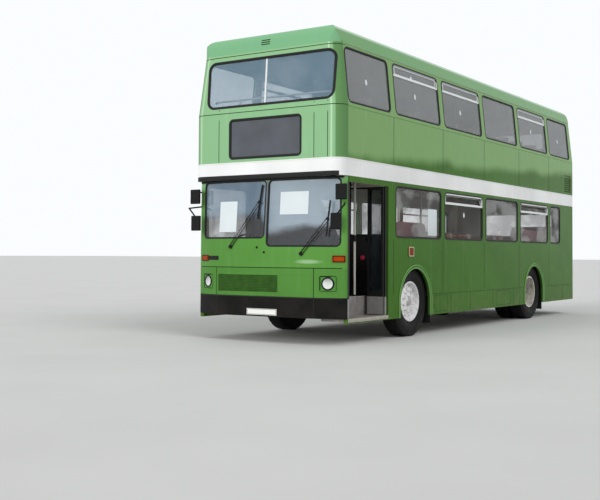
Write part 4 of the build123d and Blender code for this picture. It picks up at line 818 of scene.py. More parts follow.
# Window gaskets. Black rubber sections that hold each pane in its opening, outside every side window,
# windscreen and upper window, with a grey divider between the two windscreens.
gasket = [(-0.016, -0.012), (-0.016, -0.007), (-0.008, 0.002), (0.004, 0.005),
          (0.012, 0.003), (0.014, 0.0002), (0.0, 0.0002), (-0.0002, -0.012)]
wide_gasket = [(p * 1.25, q) for p, q in gasket]
screen_gasket = [(p * 0.85, q) for p, q in gasket]
window_round = 0.075
lower_sill, lower_head = 1.470, 2.200
upper_sill, upper_head = 3.250, 3.990
lower_half, upper_half = 0.072, 0.082   # half a pillar's width on each deck
lower_windows = [(pillars[i + 1] + lower_half, pillars[i] - lower_half) for i in range(bays)]
lower_windows.append((-3.890, pillars[bays] - lower_half))
upper_windows = [(pillars[0] + upper_half, 4.640)]
upper_windows += [(pillars[i + 1] + upper_half, pillars[i] - upper_half) for i in range(bays)]
upper_windows.append((-4.520, pillars[bays] - upper_half))
cab_window = (3.560, 4.520, 1.340, lower_head)
gaskets = Shape()
for side in (1, -1):
    below = lower_windows if side > 0 else lower_windows[1:4]
    openings = [(*ends, lower_sill, lower_head) for ends in below]
    openings += [(*ends, upper_sill, upper_head) for ends in upper_windows]
    openings += [cab_window] if side < 0 else []
    for opening in openings:
        bead(gaskets, loop(*opening, window_round), side_face(side), gasket, True)
gaskets.piece("side_window_gaskets", "tyre_rubber", rubber)
screen_head = 2.235
divider_y = 0.0325
upper_screen, destination = (-0.990, 1.120, 3.290, 3.945), (-0.583, 0.615, 2.556, 3.095)
front_gaskets, divider, rear_gaskets = Shape(), Shape(), Shape()
for y0, y1, z0 in ((-1.120, 0.008, 1.440), (0.057, 1.165, 1.325)):
    bead(front_gaskets, loop(y0, y1, z0, screen_head, 0.060, 6, 0.06), lower_front, screen_gasket, True)
bead(front_gaskets, loop(*upper_screen, 0.110, 7, 0.05), upper_front, wide_gasket, True)
bead(front_gaskets, loop(*destination, 0.050), upper_front, wide_gasket, True)
front_gaskets.piece("front_window_gaskets", "tyre_rubber", rubber)
bead(divider, line(divider_y, 1.46, divider_y, screen_head), lower_front, strip(0.012, 0.004))
divider_grey = plain_finish("divider_grey", paint(104, 112, 118), 0.4, 0.2, 12.0)
divider.piece("windscreen_divider", "aluminium_frame", divider_grey)


def behind(path):
    """A path for the back of the bus, turned over so that it runs the same way round from outside."""
    return [(-u, v) for u, v in path]


bead(rear_gaskets, behind(loop(-0.760, 0.760, 1.600, 2.120, 0.060)), rear_face, gasket, True)
rear_gaskets.piece("rear_window_gasket", "tyre_rubber", rubber)

# Glass. Toughened side panes and laminated windscreens, slightly grey, with dust on them and in the
# tracks of old rain, and a dark destination glass.
band_middle = (2.4, 2.5)    # the height over which a pane's shade changes from one deck to the next
side_glass = Finish("side_glass", IOR=2.1)
x, y, z = side_glass.axes()
upstairs = z.fade(*band_middle)
film = side_glass.noise(1.6, 5.0).fade(0.3, 0.8)
runs = side_glass.noise(26.0, 3.0, (1, 1, 0.1)).fade(0.62, 0.80)
# Painted shade: the panes of the second bay from the front are clearer, and on the lower deck darker, for the
# dark saloon behind them.
second_pane_shade = (x - 0.90).size().fade(0.84, 0.80)
# Painted reflection: dark and pale patches in the lower deck's panes.
street_reflection = side_glass.noise(1.5, 4.0, (1, 1, 1.6)).fade(0.44, 0.58) * (1.0 - second_pane_shade * 0.8)
pane_shade = side_glass.mix(street_reflection, paint(52, 48, 47), paint(140, 143, 140))
# Painted light: upstairs, the right-hand panes are pale green and clearer, for daylight seen through them
# from across the bus.
far_side_light = y.fade(-0.9, -1.0) * upstairs
upper_shade = side_glass.mix(far_side_light, paint(128, 134, 136), paint(146, 182, 168))
veil = street_reflection * (1.0 - upstairs) * 0.24 + upstairs * (0.32 - far_side_light * 0.14)
side_glass.set(Base_Color=side_glass.mix(upstairs, pane_shade, upper_shade), Roughness=0.04 + film * 0.05,
               Alpha=0.12 - second_pane_shade * 0.07 + veil + film * 0.08 + runs * 0.06,
               Normal=side_glass.bump(side_glass.noise(1.1, 1.0), 0.002))
side_glass.on("side_windows")
screen_glass = Finish("screen_glass", IOR=2.1)
y, z = screen_glass.axes()[1:]
# Painted reflection: each windscreen is blue-grey with sky from about 1.7 m up and dark below it, and the
# upper windscreen is bluer.
sky = (z + screen_glass.noise(1.2, 4.0, (1, 1, 2)) * 0.3 - y.fade(0.1, -0.1) * 0.2).fade(1.63, 1.77)
film = screen_glass.noise(2.2, 5.0).fade(0.35, 0.75)
upstairs = z.fade(*band_middle)
# Painted light: the left-hand windscreen is lighter in both its sky and its dark parts.
nearside = (y + screen_glass.noise(1.4, 3.0) * 0.5).fade(0.0, 0.5) * (1 - upstairs)
sky_shade = screen_glass.mix(nearside, paint(74, 106, 130), paint(150, 168, 180))
sky_shade = screen_glass.mix(upstairs, sky_shade, paint(112, 152, 176))
sky_shade = screen_glass.mix(film * 0.4, sky_shade, paint(164, 178, 188))
dark_shade = screen_glass.mix(nearside, paint(30, 36, 42), paint(44, 50, 56))
screen_glass.set(Base_Color=screen_glass.mix(sky, dark_shade, sky_shade), Roughness=0.03 + film * 0.04,
                 Alpha=0.28 + sky * 0.30 + film * 0.08 + nearside * 0.06 - upstairs * 0.30,
                 Normal=screen_glass.bump(screen_glass.noise(0.9, 1.0), 0.002))
screen_glass.on("front_windows")
blind_glass = Finish("blind_glass", IOR=1.8)
film = blind_glass.noise(2.5, 5.0).fade(0.3, 0.8)
blind_glass.set(Base_Color=blind_glass.mix(film, paint(44, 50, 58), paint(64, 70, 78)),
                Roughness=0.16 + film * 0.15, Normal=blind_glass.bump(blind_glass.noise(1.2, 1.0), 0.001))
blind_glass.on("destination_glass")

# Vents. Anodised alloy frames of the hopper windows, open on the left of the lower deck, with two black
# catches each and an inner frame upstairs.
alloy = Finish("alloy_frame", Metallic=0.25)
brushed = alloy.noise(60.0, 3.0, (0.05, 1, 1))
alloy_shade = alloy.mix(brushed, paint(204, 206, 206), paint(232, 234, 234))
head_bar = alloy.axes()[2].fade(3.955, 3.962)
alloy.set(Base_Color=alloy.mix(head_bar * 0.8, alloy_shade, paint(120, 126, 126)),
          Roughness=0.28 + brushed * 0.2, Normal=alloy.bump(brushed, 0.0002))
alloy.on("window_frames")
hopper_drop, hopper_frame, hopper_angle = 0.180, 0.026, radians(20)
bar = 0.012                 # width of an open hopper's frame bars
inner_frame = [(-0.016, -0.0118), (-0.015, -0.006), (-0.001, -0.006), (0.0, -0.0118)]
catch_low, catch_high = Vector((-0.018, -0.006, -0.010)), Vector((0.018, 0.006, 0.014))
hoppers, catches = Shape(), Shape()
for side in (1, -1):
    face = side_face(side)
    vents = [(*lower_windows[i], lower_head, 0.026) for i in (1, 3)]
    vents += [(*upper_windows[i], upper_head, 0.014) for i in (1, 2, 4)]
    for x0, x1, z1, width in vents:
        low = z1 - hopper_drop
        lower = z1 == lower_head
        bead(hoppers, loop(x0 + 0.004, x1 - 0.004, low + 0.002, z1 - 0.004, 0.020, 4, 0.3), face,
             [(-width, -0.010), (-width + 0.002, -0.001), (-0.002, 0.0015), (0.0, -0.010)], True)
        if not lower:
            bead(hoppers, loop(x0 + 0.060, x1 - 0.060, low + 0.026, z1 - 0.024, 0.012, 4, 0.3), face,
                 inner_frame, True)
        for x in (x0 + 0.10, x1 - 0.10):
            point, normal = face(x, low + 0.030)
            inward = point - normal * 0.018
            catches.box(inward + catch_low, inward + catch_high, 0.003)
        if lower and side > 0:
            move = placed(0, half_width - 0.018, low + hopper_frame, hopper_angle, "X")
            p0, p1, top = x0 + 0.027, x1 - 0.027, hopper_drop - 2 * hopper_frame
            for a, b, q0, q1 in ((p0, p1, 0, bar), (p0, p1, top - bar, top), (p0, p0 + bar, 0, top),
                                 (p1 - bar, p1, 0, top)):
                hoppers.box((a, -0.004, q0), (b, 0.009, q1), 0.002, move=move)
hoppers.piece("hopper_frames", "aluminium_frame", alloy)
black_metal = plain_finish("black_metal", paint(13, 13, 14), 0.45, 0.3, 20.0, shine=0.25)
catches.piece("hopper_catches", "black_plastic", black_metal)

# Stickers and notices. Plain white paper sheets taped to the glass, and small round labels on the
# panes, all blank.
paper = plain_finish("notice_paper", paint(208, 216, 218), 0.8, 0.05, 3.0)
paper_back, paper_face = -0.0118, -0.0104
notices = Shape()


def sheet(shape, y0, y1, z0, z1, count, one, other):
    """A thin sheet that follows the front, its two faces at two heights over it."""
    columns = [[lower_front(y0 + (y1 - y0) * i / count, z) for z in (z0, z1)] for i in range(count + 1)]
    shape.rings([[low[0] + low[1] * one, low[0] + low[1] * other,
                  high[0] + high[1] * other, high[0] + high[1] * one] for low, high in columns])


for corners in ((-0.789, -0.480, 1.524, 1.955), (0.253, 0.712, 1.756, 2.066)):
    sheet(notices, *corners, 12, paper_face, -0.0116)
notices.box((1.929, half_width + paper_back, 1.511), (2.247, half_width + paper_face, 1.919), 0.0004)
for x, z in ((4.10, 3.585), (2.694, 3.853), (2.610, 3.593), (0.971, 3.557), (-2.323, 3.603), (-3.876, 3.565),
             (0.904, 1.868)):
    disc(notices, side_face(1), x, z, 0.032, ((1, paper_back), (1, -0.0106)), 20, 1.3)
notices.piece("blank_notices", "plate_white", paper)

# Front fittings. The black bumper moulding in three lengths, the slatted radiator grille, the plain
# access panel beside it and a blank badge panel.
bumper_black = plain_finish("bumper_black", paint(9, 9, 9), 0.6, 0.35, 7.0, dirt=0.06, shine=0.2, grit=0.0004)
bumper_black.on("front_bumper")
bumper_low, bumper_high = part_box("front_bumper")
bumper_trim = Shape()
for y in front_joints:
    bead(bumper_trim, line(y, bumper_low.z + 0.004, y, bumper_high.z - 0.004), lower_front,
         strip(0.0035, 0.0012))
z = bumper_high.z - 0.010
bead(bumper_trim, line(-front_half, z, front_half, z, 0.04), lower_front, strip(0.007, 0.004))
bumper_trim.piece("bumper_joints", "black_paint", rubber)
plain_finish("grille_green", paint(56, 98, 34), 0.5, 0.35, 12.0, shine=0.2).on("front_grille")
grille_low, grille_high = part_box("front_grille")
grille_frame, badge = Shape(), Shape()
grille_edge = [(-0.010, -0.020), (-0.010, 0.001), (0.0, 0.003), (0.010, 0.0005), (0.010, -0.002),
               (0.0, -0.002), (-0.002, -0.020)]
bead(grille_frame, loop(grille_low.y, grille_high.y, grille_low.z, grille_high.z, 0.008, 3), lower_front,
     grille_edge, True)
bead(grille_frame, loop(grille_high.y + 0.016, 0.800, grille_low.z, grille_high.z, 0.010, 3), lower_front,
     strip(0.004, 0.002), True)
grille_frame.piece("grille_surround", "green_paint", sunlit_front_green)
sheet(badge, -1.000, -0.780, 1.128, 1.186, 10, -0.001, 0.005)
badge.piece("blank_badge", "black_plastic", black_metal)

# Headlamps. A fluted, domed glass lens held by a black ring, which is screwed into a square painted
# pocket at each front corner.
lens = Finish("lamp_lens", IOR=1.5, Metallic=0.3)
y, z = lens.axes()[1:]
lens_cloud = lens.noise(9.0, 3.0)
lens_shade = lens.mix(lens_cloud.fade(0.35, 0.65), paint(120, 124, 118), paint(170, 174, 168))
# Painted highlight: the lens is pale white across its lower part.
lens.set(Base_Color=lens.mix(z.fade(0.90, 0.78), lens_shade, paint(238, 240, 238)),
         Roughness=0.10 + lens_cloud * 0.08, Normal=lens.bump((y * 420.0).wave(), 0.0012))
lens.on("headlamps")
lamp_y, lamp_z, lamp_radius = 1.010, 0.825, 0.085
pocket_half = 0.106
ring_outline = [(lamp_radius + r, u) for r, u in ((-0.012, -0.004), (-0.012, 0.008), (-0.006, 0.011),
                                                  (0.001, 0.009), (0.004, 0.0), (0.004, -0.006))]
lens_outline = [(lamp_radius - 0.012, -0.004), (lamp_radius * 0.80, 0.004), (lamp_radius * 0.45, 0.009),
                (0.0005, 0.0105), (0.0005, 0.008), (lamp_radius * 0.45, 0.0065), (lamp_radius * 0.80, 0.0015)]
pocket_fold = [(-0.010, 0.0), (-0.006, 0.004), (0.004, 0.005),
               (0.010, 0.0), (0.010, -0.004), (-0.010, -0.004)]
lamp_rings, lamp_lenses, lamp_pockets, pocket_rims_and_shadows = Shape(), Shape(), Shape(), Shape()
for y in (lamp_y, -lamp_y):
    move = standing(*lower_front(y, lamp_z))
    lamp_rings.turned(ring_outline, 40, move)
    lamp_lenses.turned(lens_outline, 40, move)
    edge = loop(y - pocket_half, y + pocket_half, lamp_z - 0.100, lamp_z + 0.100, 0.02, 4, 0.03)
    bead(pocket_rims_and_shadows, edge, lower_front, strip(0.0045, 0.0014), True)
    # Painted shadow: a wider dark strip up the inboard edge and along the top of each pocket, where the
    # recess is in shade.
    inboard, top = y - pocket_half + 0.002, lamp_z + 0.098
    shadow = line(inboard, lamp_z - 0.085, inboard, top, 0.03)
    shadow += line(inboard, top, inboard + 0.150, top, 0.03)[1:]
    bead(pocket_rims_and_shadows, shadow, lower_front, strip(0.0100, 0.0018))
    bead(lamp_pockets, loop(y - 0.118, y + 0.118, lamp_z - 0.112, lamp_z + 0.112, 0.03), lower_front,
         pocket_fold, True)
lamp_rings.piece("headlamp_rings", "black_plastic", black_metal)
lamp_lenses.piece("headlamp_lenses", "lamp_glass", lens)
pocket_rims_and_shadows.piece("headlamp_pocket_rims_and_shadows", "grille_paint", seam_green)
lamp_pockets.piece("headlamp_pockets", "green_paint", sunlit_front_green)

# Indicators and side repeaters. Ribbed amber lenses screwed to the front panel, and square red-brown
# repeaters in pale bezels on the sides.
amber = Finish("amber_lens", IOR=1.3, Specular_IOR_Level=0.15)
x, y = amber.axes()[:2]
amber_shade = amber.mix(amber.noise(22.0, 3.0), paint(136, 46, 4), paint(172, 72, 8))
amber_shade = amber.mix(y.size().fade(1.248, 1.252), amber_shade, paint(124, 58, 30))
amber.set(Base_Color=amber_shade, Roughness=0.22, Normal=amber.bump(((x + y) * 520.0).wave(), 0.0012))
amber.on("indicators")
front_of_lens = 0.012
repeater_x, repeater_z = 2.836, 1.262
repeater = (repeater_x - 0.074, repeater_x + 0.074, repeater_z - 0.062, repeater_z + 0.062)
bezels, indicator_rims = Shape(), Shape()


def lifted(face, out):
    """The places of a face, moved outwards."""
    def place(u, v):
        point, normal = face(u, v)
        return point + normal * out, normal
    return place


for y0, y1 in ((1.076, 1.222), (-1.163, -1.015)):
    bead(indicator_rims, loop(y0, y1, 1.116, 1.194, 0.006, 3, 0.03), lifted(lower_front, front_of_lens),
         [(-0.008, -0.002), (-0.008, 0.002), (0.004, 0.002), (0.004, -0.001)], True)
indicator_rims.piece("indicator_rims", "black_plastic", black_metal)
for side in (1, -1):
    bead(bezels, loop(*repeater, 0.008, 3), lifted(side_face(side), front_of_lens),
         [(-0.004, -0.001), (-0.003, 0.003), (0.007, 0.003), (0.009, -0.001)], True)
bezel_cream = plain_finish("bezel_cream", paint(196, 194, 154), 0.4, 0.06, 20.0)
bezels.piece("lamp_bezels", "aluminium_frame", bezel_cream)

# Number plates. Blank reflective plates with a thin black border, one screwed to the front bumper and
# one to the back under its window.
plain_finish("plate_white", paint(228, 228, 222), 0.35, 0.06, 6.0).on("number_plates")
plate_out = half_length + 0.006
plate_border = Shape()


def flat(x):
    """A level face across the bus at x, which looks ahead or behind."""
    def place(u, v):
        return Vector((x, u, v)), Vector((1 if x > 0 else -1, 0, 0))
    return place


thin = [(-0.0025, -0.0005), (-0.0025, 0.0006), (0.0025, 0.0006), (0.0025, -0.0005)]
bead(plate_border, loop(-0.252, 0.232, 0.388, 0.457, 0.008, 3), flat(plate_out), thin, True)
bead(plate_border, behind(loop(-0.252, 0.252, 1.448, 1.542, 0.008, 3)), flat(-plate_out), thin, True)
plate_border.piece("plate_borders", "black_plastic", black_metal)

# Mirrors. Moulded black heads on painted tube arms bolted to the front corners, each with a silvered
# glass that faces back along the side.
black_metal.on("mirrors")
mirror_glass = Finish("mirror_glass", Metallic=1.0)
silvering = mirror_glass.mix(mirror_glass.noise(12.0, 3.0), paint(186, 192, 196), paint(206, 212, 216))
mirror_glass.set(Base_Color=silvering, Roughness=0.04)
mirror_back = half_length - 0.016
glasses = Shape()
for side in (1, -1):
    for y0, y1, z0, z1, back in ((1.116, 1.251, 1.559, 1.748, mirror_back),
                                 (1.164, 1.306, 1.949, 2.131, mirror_back - 0.045)):
        path = loop(*sorted((side * y0, side * y1)), z0, z1, 0.022, 4, 0.5)
        glasses.rings([[(x, u, v) for u, v in path] for x in (back + 0.002, back - 0.0012)])
glasses.piece("mirror_glasses", "lamp_glass", mirror_glass)

# Wipers. Black painted steel arms of two bars, each with a rubber blade that a pressed carrier holds
# against the windscreen.
black_metal.on("wipers")
lean = atan2(screen_rake, band_foot - screen_foot)
blade_half, carrier_half = 0.240, 0.030
blades = Shape()
for y, z, tilt in ((-0.077, 1.937, radians(-7.0)), (1.045, 1.690, radians(-5.0))):
    glass_x = lower_front(y, z)[0].x
    arm_x = half_length + 0.010 - (z - 1.315) * tan(lean)
    move = placed(max(glass_x + 0.003, arm_x - 0.012), y, z, -lean, "Y") @ Matrix.Rotation(tilt, 4, "X")
    blades.box((0.0, -0.013, -blade_half), (0.008, 0.013, blade_half), 0.003, move=move)
    for end in (-0.16, -0.06, 0.06, 0.16):
        blades.box((0.006, -0.009, end - carrier_half), (0.016, 0.009, end + carrier_half), 0.002, move=move)
blades.piece("wiper_blades", "tyre_rubber", rubber)

# Wheel arch lips, skirt flaps and sill. Rolled green lips round the arches, access flaps with
# turn-button locks, and the entrance's worn alloy sill.
arch_radius = 0.500
rolled_edge = [(-0.010, -0.012), (-0.012, 0.0), (-0.008, 0.0068), (0.004, 0.0082), (0.008, 0.0062),
               (-0.001, 0.004), (-0.001, -0.012)]
outer_bead = [(-0.011, 0.0), (-0.009, 0.008), (-0.003, 0.0125), (0.003, 0.0125), (0.009, 0.008), (0.011, 0.0)]
lips, flaps, locks, sill = Shape(), Shape(), Shape(), Shape()
for side in (1, -1):
    for x in (front_axle_x, rear_axle_x):
        for radius, section in ((arch_radius, rolled_edge), (arch_radius + 0.040, outer_bead)):
            arch = [(x + radius * cos(pi * i / 40), axle_height + radius * sin(pi * i / 40))
                    for i in range(41)]
            path = line(x + radius, skirt_low, *arch[0])[:-1] + arch
            path += line(*arch[-1], x - radius, skirt_low)[1:]
            bead(lips, path, side_face(side), section)
# Painted highlight: the lips are a lighter green than the sides, where their rolled edges catch the sky.
lips.piece("arch_lips", "green_paint", coachwork("arch_highlight_green", paint(112, 160, 92), sky_and_bleach_green, 0.15))
lock = [(0.014, 0.0), (0.014, 0.002), (0.010, 0.004), (0.0005, 0.004), (0.0005, 0.0)]
for side in (1, -1):
    skirt_flaps = [(1.55, 2.02, 0.340, 0.590), (-1.15, -0.45, 0.340, 0.590)]
    skirt_flaps += [(-4.60, -4.12, 0.700, 1.150)] if side < 0 else []
    for x0, x1, z0, z1 in skirt_flaps:
        bead(flaps, loop(x0, x1, z0, z1, 0.03), side_face(side), strip(0.003, 0.0012), True)
        for x in (x0 + 0.06, x1 - 0.06):
            locks.turned(lock, 20, placed(x, side * half_width, z1 - 0.035, 0 if side > 0 else pi))
flaps.piece("skirt_flaps", "green_paint", seam_green)
locks.piece("flap_locks", "green_paint", side_green)
door_rear, door_front = 3.533, 4.652
sill_rear, sill_out = door_rear + 0.004, half_width + 0.006
sill.box((sill_rear, half_width + 0.0005, 0.312), (door_front - 0.008, sill_out, 0.360), 0.002)
sill.box((sill_rear, half_width - 0.05, 0.3602), (door_front - 0.004, sill_out, 0.3632), 0.001)
worn_alloy = plain_finish("worn_alloy", paint(172, 167, 154), 0.5, 0.25, 14.0, 0.2)
sill.piece("entrance_sill", "aluminium_frame", worn_alloy)

# Entrance doors. Two pairs of folding leaves in black-painted alloy frames, glazed nearly to the floor,
# with grey kick plates and with rubber fingers along their edges.


def pane_in(made, axis, low, high, z0, z1):
    """1 on a pane and 0 on the frame round it; the axis is 0 along the bus or 1 across it."""
    parts = made.axes()
    share = 1.0
    for part, a, b in ((parts[axis], low, high), (parts[2], z0, z1)):
        share = (part - (a + b) / 2).size().fade((b - a) / 2 + 0.0004, (b - a) / 2) * share
    return share


frame_black = paint(13, 13, 14)
for name, low, high in (("outer", 0.9955, 1.1995), ("inner", 0.9955, 1.1815)):
    made = Finish(f"{name}_leaf", IOR=1.5, Specular_IOR_Level=0.4)
    pane = pane_in(made, 1, low, high, 0.702, 2.141)
    wear = made.noise(16.0, 4.0)
    kick_plate = made.mix(wear, paint(120, 118, 117), paint(160, 158, 156))
    framing = made.mix(wear, frame_black, paint(26, 27, 26))
    framing = made.mix(made.axes()[2].fade(0.625, 0.62), framing, kick_plate)
    made.set(Base_Color=made.mix(pane, framing, paint(42, 50, 54)), Alpha=1 - pane * 0.84,
             Roughness=0.42 - pane * 0.36 + wear * 0.1,
             Normal=made.bump(made.noise(200.0, 2.0) * (1 - pane), 0.0001))
    made.on(f"front_door_{name}_leaf", f"rear_door_{name}_leaf")
finger_half, post_in, leaf_step = 0.003, 0.042, 0.038
for end, post_x, sign in (("rear", door_rear + post_in, 1), ("front", door_front - post_in, -1)):
    for part, x, y in (("outer", post_x, 0.963), ("inner", post_x + sign * leaf_step, 1.214)):
        fingers = Shape()
        fingers.box((x - 0.011, y - finger_half, 0.375), (x + 0.011, y + finger_half, 2.170), 0.0025)
        for z in (0.703, 2.140):
            fingers.box((x - 0.0165, 1.0, z - 0.004), (x + 0.0165, 1.175, z + 0.004), 0.0015)
        fingers.piece(f"{end}_{part}_leaf_seals", "tyre_rubber", rubber, f"{end}_{part}_leaf")

# Emergency door, upper exit and engine cover. Framed doors in the body's green with glazed lights; the
# engine cover has a pressed frame and cooling slots.
emergency_light, exit_light = (-3.790, -3.350, 1.470, 2.095), (-0.570, 0.570, 3.300, 3.890)
light_round = 0.060
for name, axis, light, node in (("emergency_door_green", 0, emergency_light, "emergency_door"),
                                ("upper_exit_green", 1, exit_light, "upper_rear_exit")):
    made = coachwork(name, green, sky_and_bleach_green, 0.25)
    pane = pane_in(made, axis, *light)
    made.set(Base_Color=made.mix(pane, made.now("Base Color"), paint(96, 101, 103)), Alpha=1 - pane * 0.6,
             Roughness=made.now("Roughness") * (1 - pane) + pane * 0.05)
    made.on(node)
door_gasket, exit_gasket, cover_detail, cover_dark = Shape(), Shape(), Shape(), Shape()
bead(door_gasket, loop(*emergency_light, light_round), side_face(-1), gasket, True)
door_gasket.box((-3.345, -half_width - 0.006, 1.30), (-3.325, -half_width + 0.001, 1.42), 0.002)
door_gasket.piece("emergency_door_gasket", "tyre_rubber", rubber, "emergency_door")
bead(exit_gasket, behind(loop(*exit_light, light_round)), rear_face, gasket, True)
exit_gasket.piece("upper_exit_gasket", "tyre_rubber", rubber, "upper_rear_exit")
bead(cover_detail, behind(loop(-0.86, 0.86, 0.49, 1.33, 0.05)), flat(-half_length), strip(0.012, 0.006), True)
slat = [(0.0005, 0.0), (0.010, 0.002), (0.012, 0.008), (0.0005, 0.016)]
slat_count, slat_foot, slat_pitch = 14, 0.80, 0.030
for i in range(slat_count):
    z = slat_foot + slat_pitch * i
    for y0, y1 in ((-0.74, -0.10), (0.10, 0.74)):
        cover_detail.rings([[(-half_length - out, y, z + up) for out, up in slat] for y in (y0, y1)])
        cover_dark.box((-half_length - 0.0022, y0 + 0.005, z - 0.009),
                       (-half_length + 0.001, y1 - 0.005, z - 0.001), 0.0008)
cover_detail.piece("engine_cover_slats", "green_paint", side_green, "engine_cover")
cover_dark.piece("engine_cover_slots", "grille_paint", seam_green, "engine_cover")

# Tail lamps. Square plastic lenses in black bezels, three in a column on each side of the back. The
# middle one is amber for turning, between red ones for tail and stop.
tail_red = Finish("red_lens", IOR=1.5)
z = tail_red.axes()[2]
turn_lamps = (z - 0.900).size().fade(0.058, 0.056)
tail_red.set(Base_Color=tail_red.mix(turn_lamps, paint(150, 22, 20), paint(214, 104, 30)), Roughness=0.2,
             Normal=tail_red.bump((z * 600.0).wave(), 0.001))
tail_red.on("tail_lamps")
tail_half = 0.055
tail_bezel = [(-0.008, -0.001), (-0.006, 0.003), (0.004, 0.003), (0.006, -0.011)]
tail_bezels = Shape()
for y in (1.030, -1.030):
    for z in (0.760, 0.900, 1.040):
        path = loop(-y - tail_half, -y + tail_half, z - tail_half, z + tail_half, 0.012, 3)
        bead(tail_bezels, behind(path), flat(-half_length - 0.012), tail_bezel, True)
tail_bezels.piece("tail_lamp_bezels", "black_plastic", black_metal)

# Cab, partition and stairs. Plywood and steel panels under dark laminate, alloy nosings on the stairs
# and the platform, and a moulded instrument panel with dials and switches before the driver.
plain_finish("dark_laminate", paint(52, 50, 48), 0.45, 0.3, 6.0).on("cab_partition", "cab_door")
plain_finish("stair_laminate", paint(150, 142, 124), 0.5, 0.2, 5.0).on("staircase")
cab_black = plain_finish("cab_black", paint(36, 36, 37), 0.5, 0.25, 12.0).on("cab_dashboard")
lower_floor_z, raised_floor_z, upper_floor_z, box_top_z = 0.620, 0.850, 2.440, 1.100
stair_rear, stair_going, stair_rise = 1.640, 0.190, (upper_floor_z - lower_floor_z) / 8
nosings, dials, switches = Shape(), Shape(), Shape()
for i in range(1, 8):
    x, z = stair_rear + stair_going * (i - 1), lower_floor_z + stair_rise * i
    nosings.box((x - 0.003, -1.190, z - 0.022), (x + 0.034, -0.606, z + 0.0022), 0.0015)
nosings.box((door_rear + 0.01, 0.893, 0.6202), (4.68, 0.903, 0.6262), 0.001)
nosings.piece("stair_nosings", "aluminium_frame", alloy)
chrome = Finish("bright_trim", Metallic=1.0)
pits = chrome.noise(80.0, 3.0)
chrome.set(Base_Color=chrome.mix(pits, paint(190, 192, 194), paint(232, 234, 236)),
           Roughness=0.10 + pits * 0.18)
dash_x, dash_z = 4.380, 1.290
for y, z, r in ((-0.55, 1.21, 0.045), (-0.68, 1.21, 0.045), (-0.44, 1.22, 0.026), (-0.79, 1.22, 0.026)):
    rim = [(r, 0.0), (r, 0.008), (r * 0.86, 0.010), (r * 0.84, 0.004), (0.0005, 0.004), (0.0005, 0.0)]
    dials.turned(rim, 28, placed(dash_x, y, z, pi / 2))
dials.piece("dials", "box_paint", chrome)
for i in range(7):
    y = -0.93 + 0.052 * i
    switches.box((dash_x - 0.010, y, 1.115), (dash_x + 0.001, y + 0.032, 1.150), 0.003)
for y0, y1 in ((-1.07, -0.86), (-0.40, -0.20)):
    switches.box((dash_x + 0.03, y0, dash_z), (dash_x + 0.17, y1, dash_z + 0.055), 0.012)
switches.piece("cab_switches", "black_plastic", cab_black)

# Grab rails. Plastic-sleeved steel tubes between floor and ceiling, with a black socket at each end
# and a clamp halfway, and a rail across the upper front window.
rail_finish = plain_finish("rail_sleeve", paint(186, 184, 178), 0.35, 0.12, 10.0).on("grab_rails")
deck_under = 2.399
grip = 0.0175               # radius that a socket leaves for its rail
sockets, front_rails = Shape(), Shape()
for x, y in ((3.830, 0.870), (3.500, 0.300), (1.980, 0.420), (1.640, -0.500)):
    for z0, z1 in ((0.6205, 0.650), (deck_under - 0.030, deck_under - 0.0005)):
        sockets.turned([(grip, z0), (0.034, z0), (0.034, z0 + 0.008), (0.021, z1), (grip, z1)], 24,
                       placed(x, y, 0, pi / 2, "X"))
sockets.turned([(grip, 1.40), (0.030, 1.40), (0.030, 1.49), (grip, 1.49)], 24,
               placed(3.830, 0.870, 0, pi / 2, "X"))
sockets.piece("rail_sockets", "black_plastic", black_metal)
rail_z = 3.40
right_end = [(4.60, -1.02, rail_z), (4.66, -0.98, rail_z), (4.70, -0.90, rail_z)]
front_rails.tube(right_end + [(x, -y, z) for x, y, z in reversed(right_end)], 0.014, 12)
for y in (-0.5, 0.5):
    front_rails.tube([(4.70, y, rail_z), (4.76, y, 3.27), (4.785, y, 3.22)], 0.010, 10)
front_rails.piece("upper_front_rail", "rail_paint", rail_finish)

# Draught screen. A black laminate panel in a tubular frame behind the entrance, glazed above, with a
# diagonal handrail and a red push button towards the platform.
screen_x, half_thick, tube = 3.432, 0.009, 0.014
screen_y, screen_z = (0.560, 1.190), (0.628, 1.500, 2.180)
draught, draught_frame, draught_pane, diagonal, button = Shape(), Shape(), Shape(), Shape(), Shape()
draught.box((screen_x - half_thick, screen_y[0], screen_z[0]),
            (screen_x + half_thick, screen_y[1], screen_z[1]), 0.003)
draught.piece("draught_screen_panel", "interior_laminate",
              plain_finish("black_laminate", paint(16, 15, 16), 0.4, 0.3, 8.0))
draught_frame.tube([(screen_x, screen_y[0], 0.6205), (screen_x, screen_y[0], deck_under - 0.001)], tube, 14)
for z in screen_z[1:]:
    draught_frame.tube([(screen_x, y, z) for y in screen_y], tube * 0.8, 12)
draught_frame.piece("draught_screen_frame", "rail_paint", black_metal)
draught_pane.box((screen_x - 0.003, screen_y[0] + 0.012, screen_z[1] + 0.010),
                 (screen_x + 0.003, screen_y[1], screen_z[2] - 0.010), 0.001)
glass = Finish("draught_pane", IOR=2.1)
film = glass.noise(1.6, 5.0).fade(0.3, 0.8) * 0.4
runs = glass.noise(26.0, 3.0, (1, 1, 0.1)).fade(0.62, 0.80) * 0.4
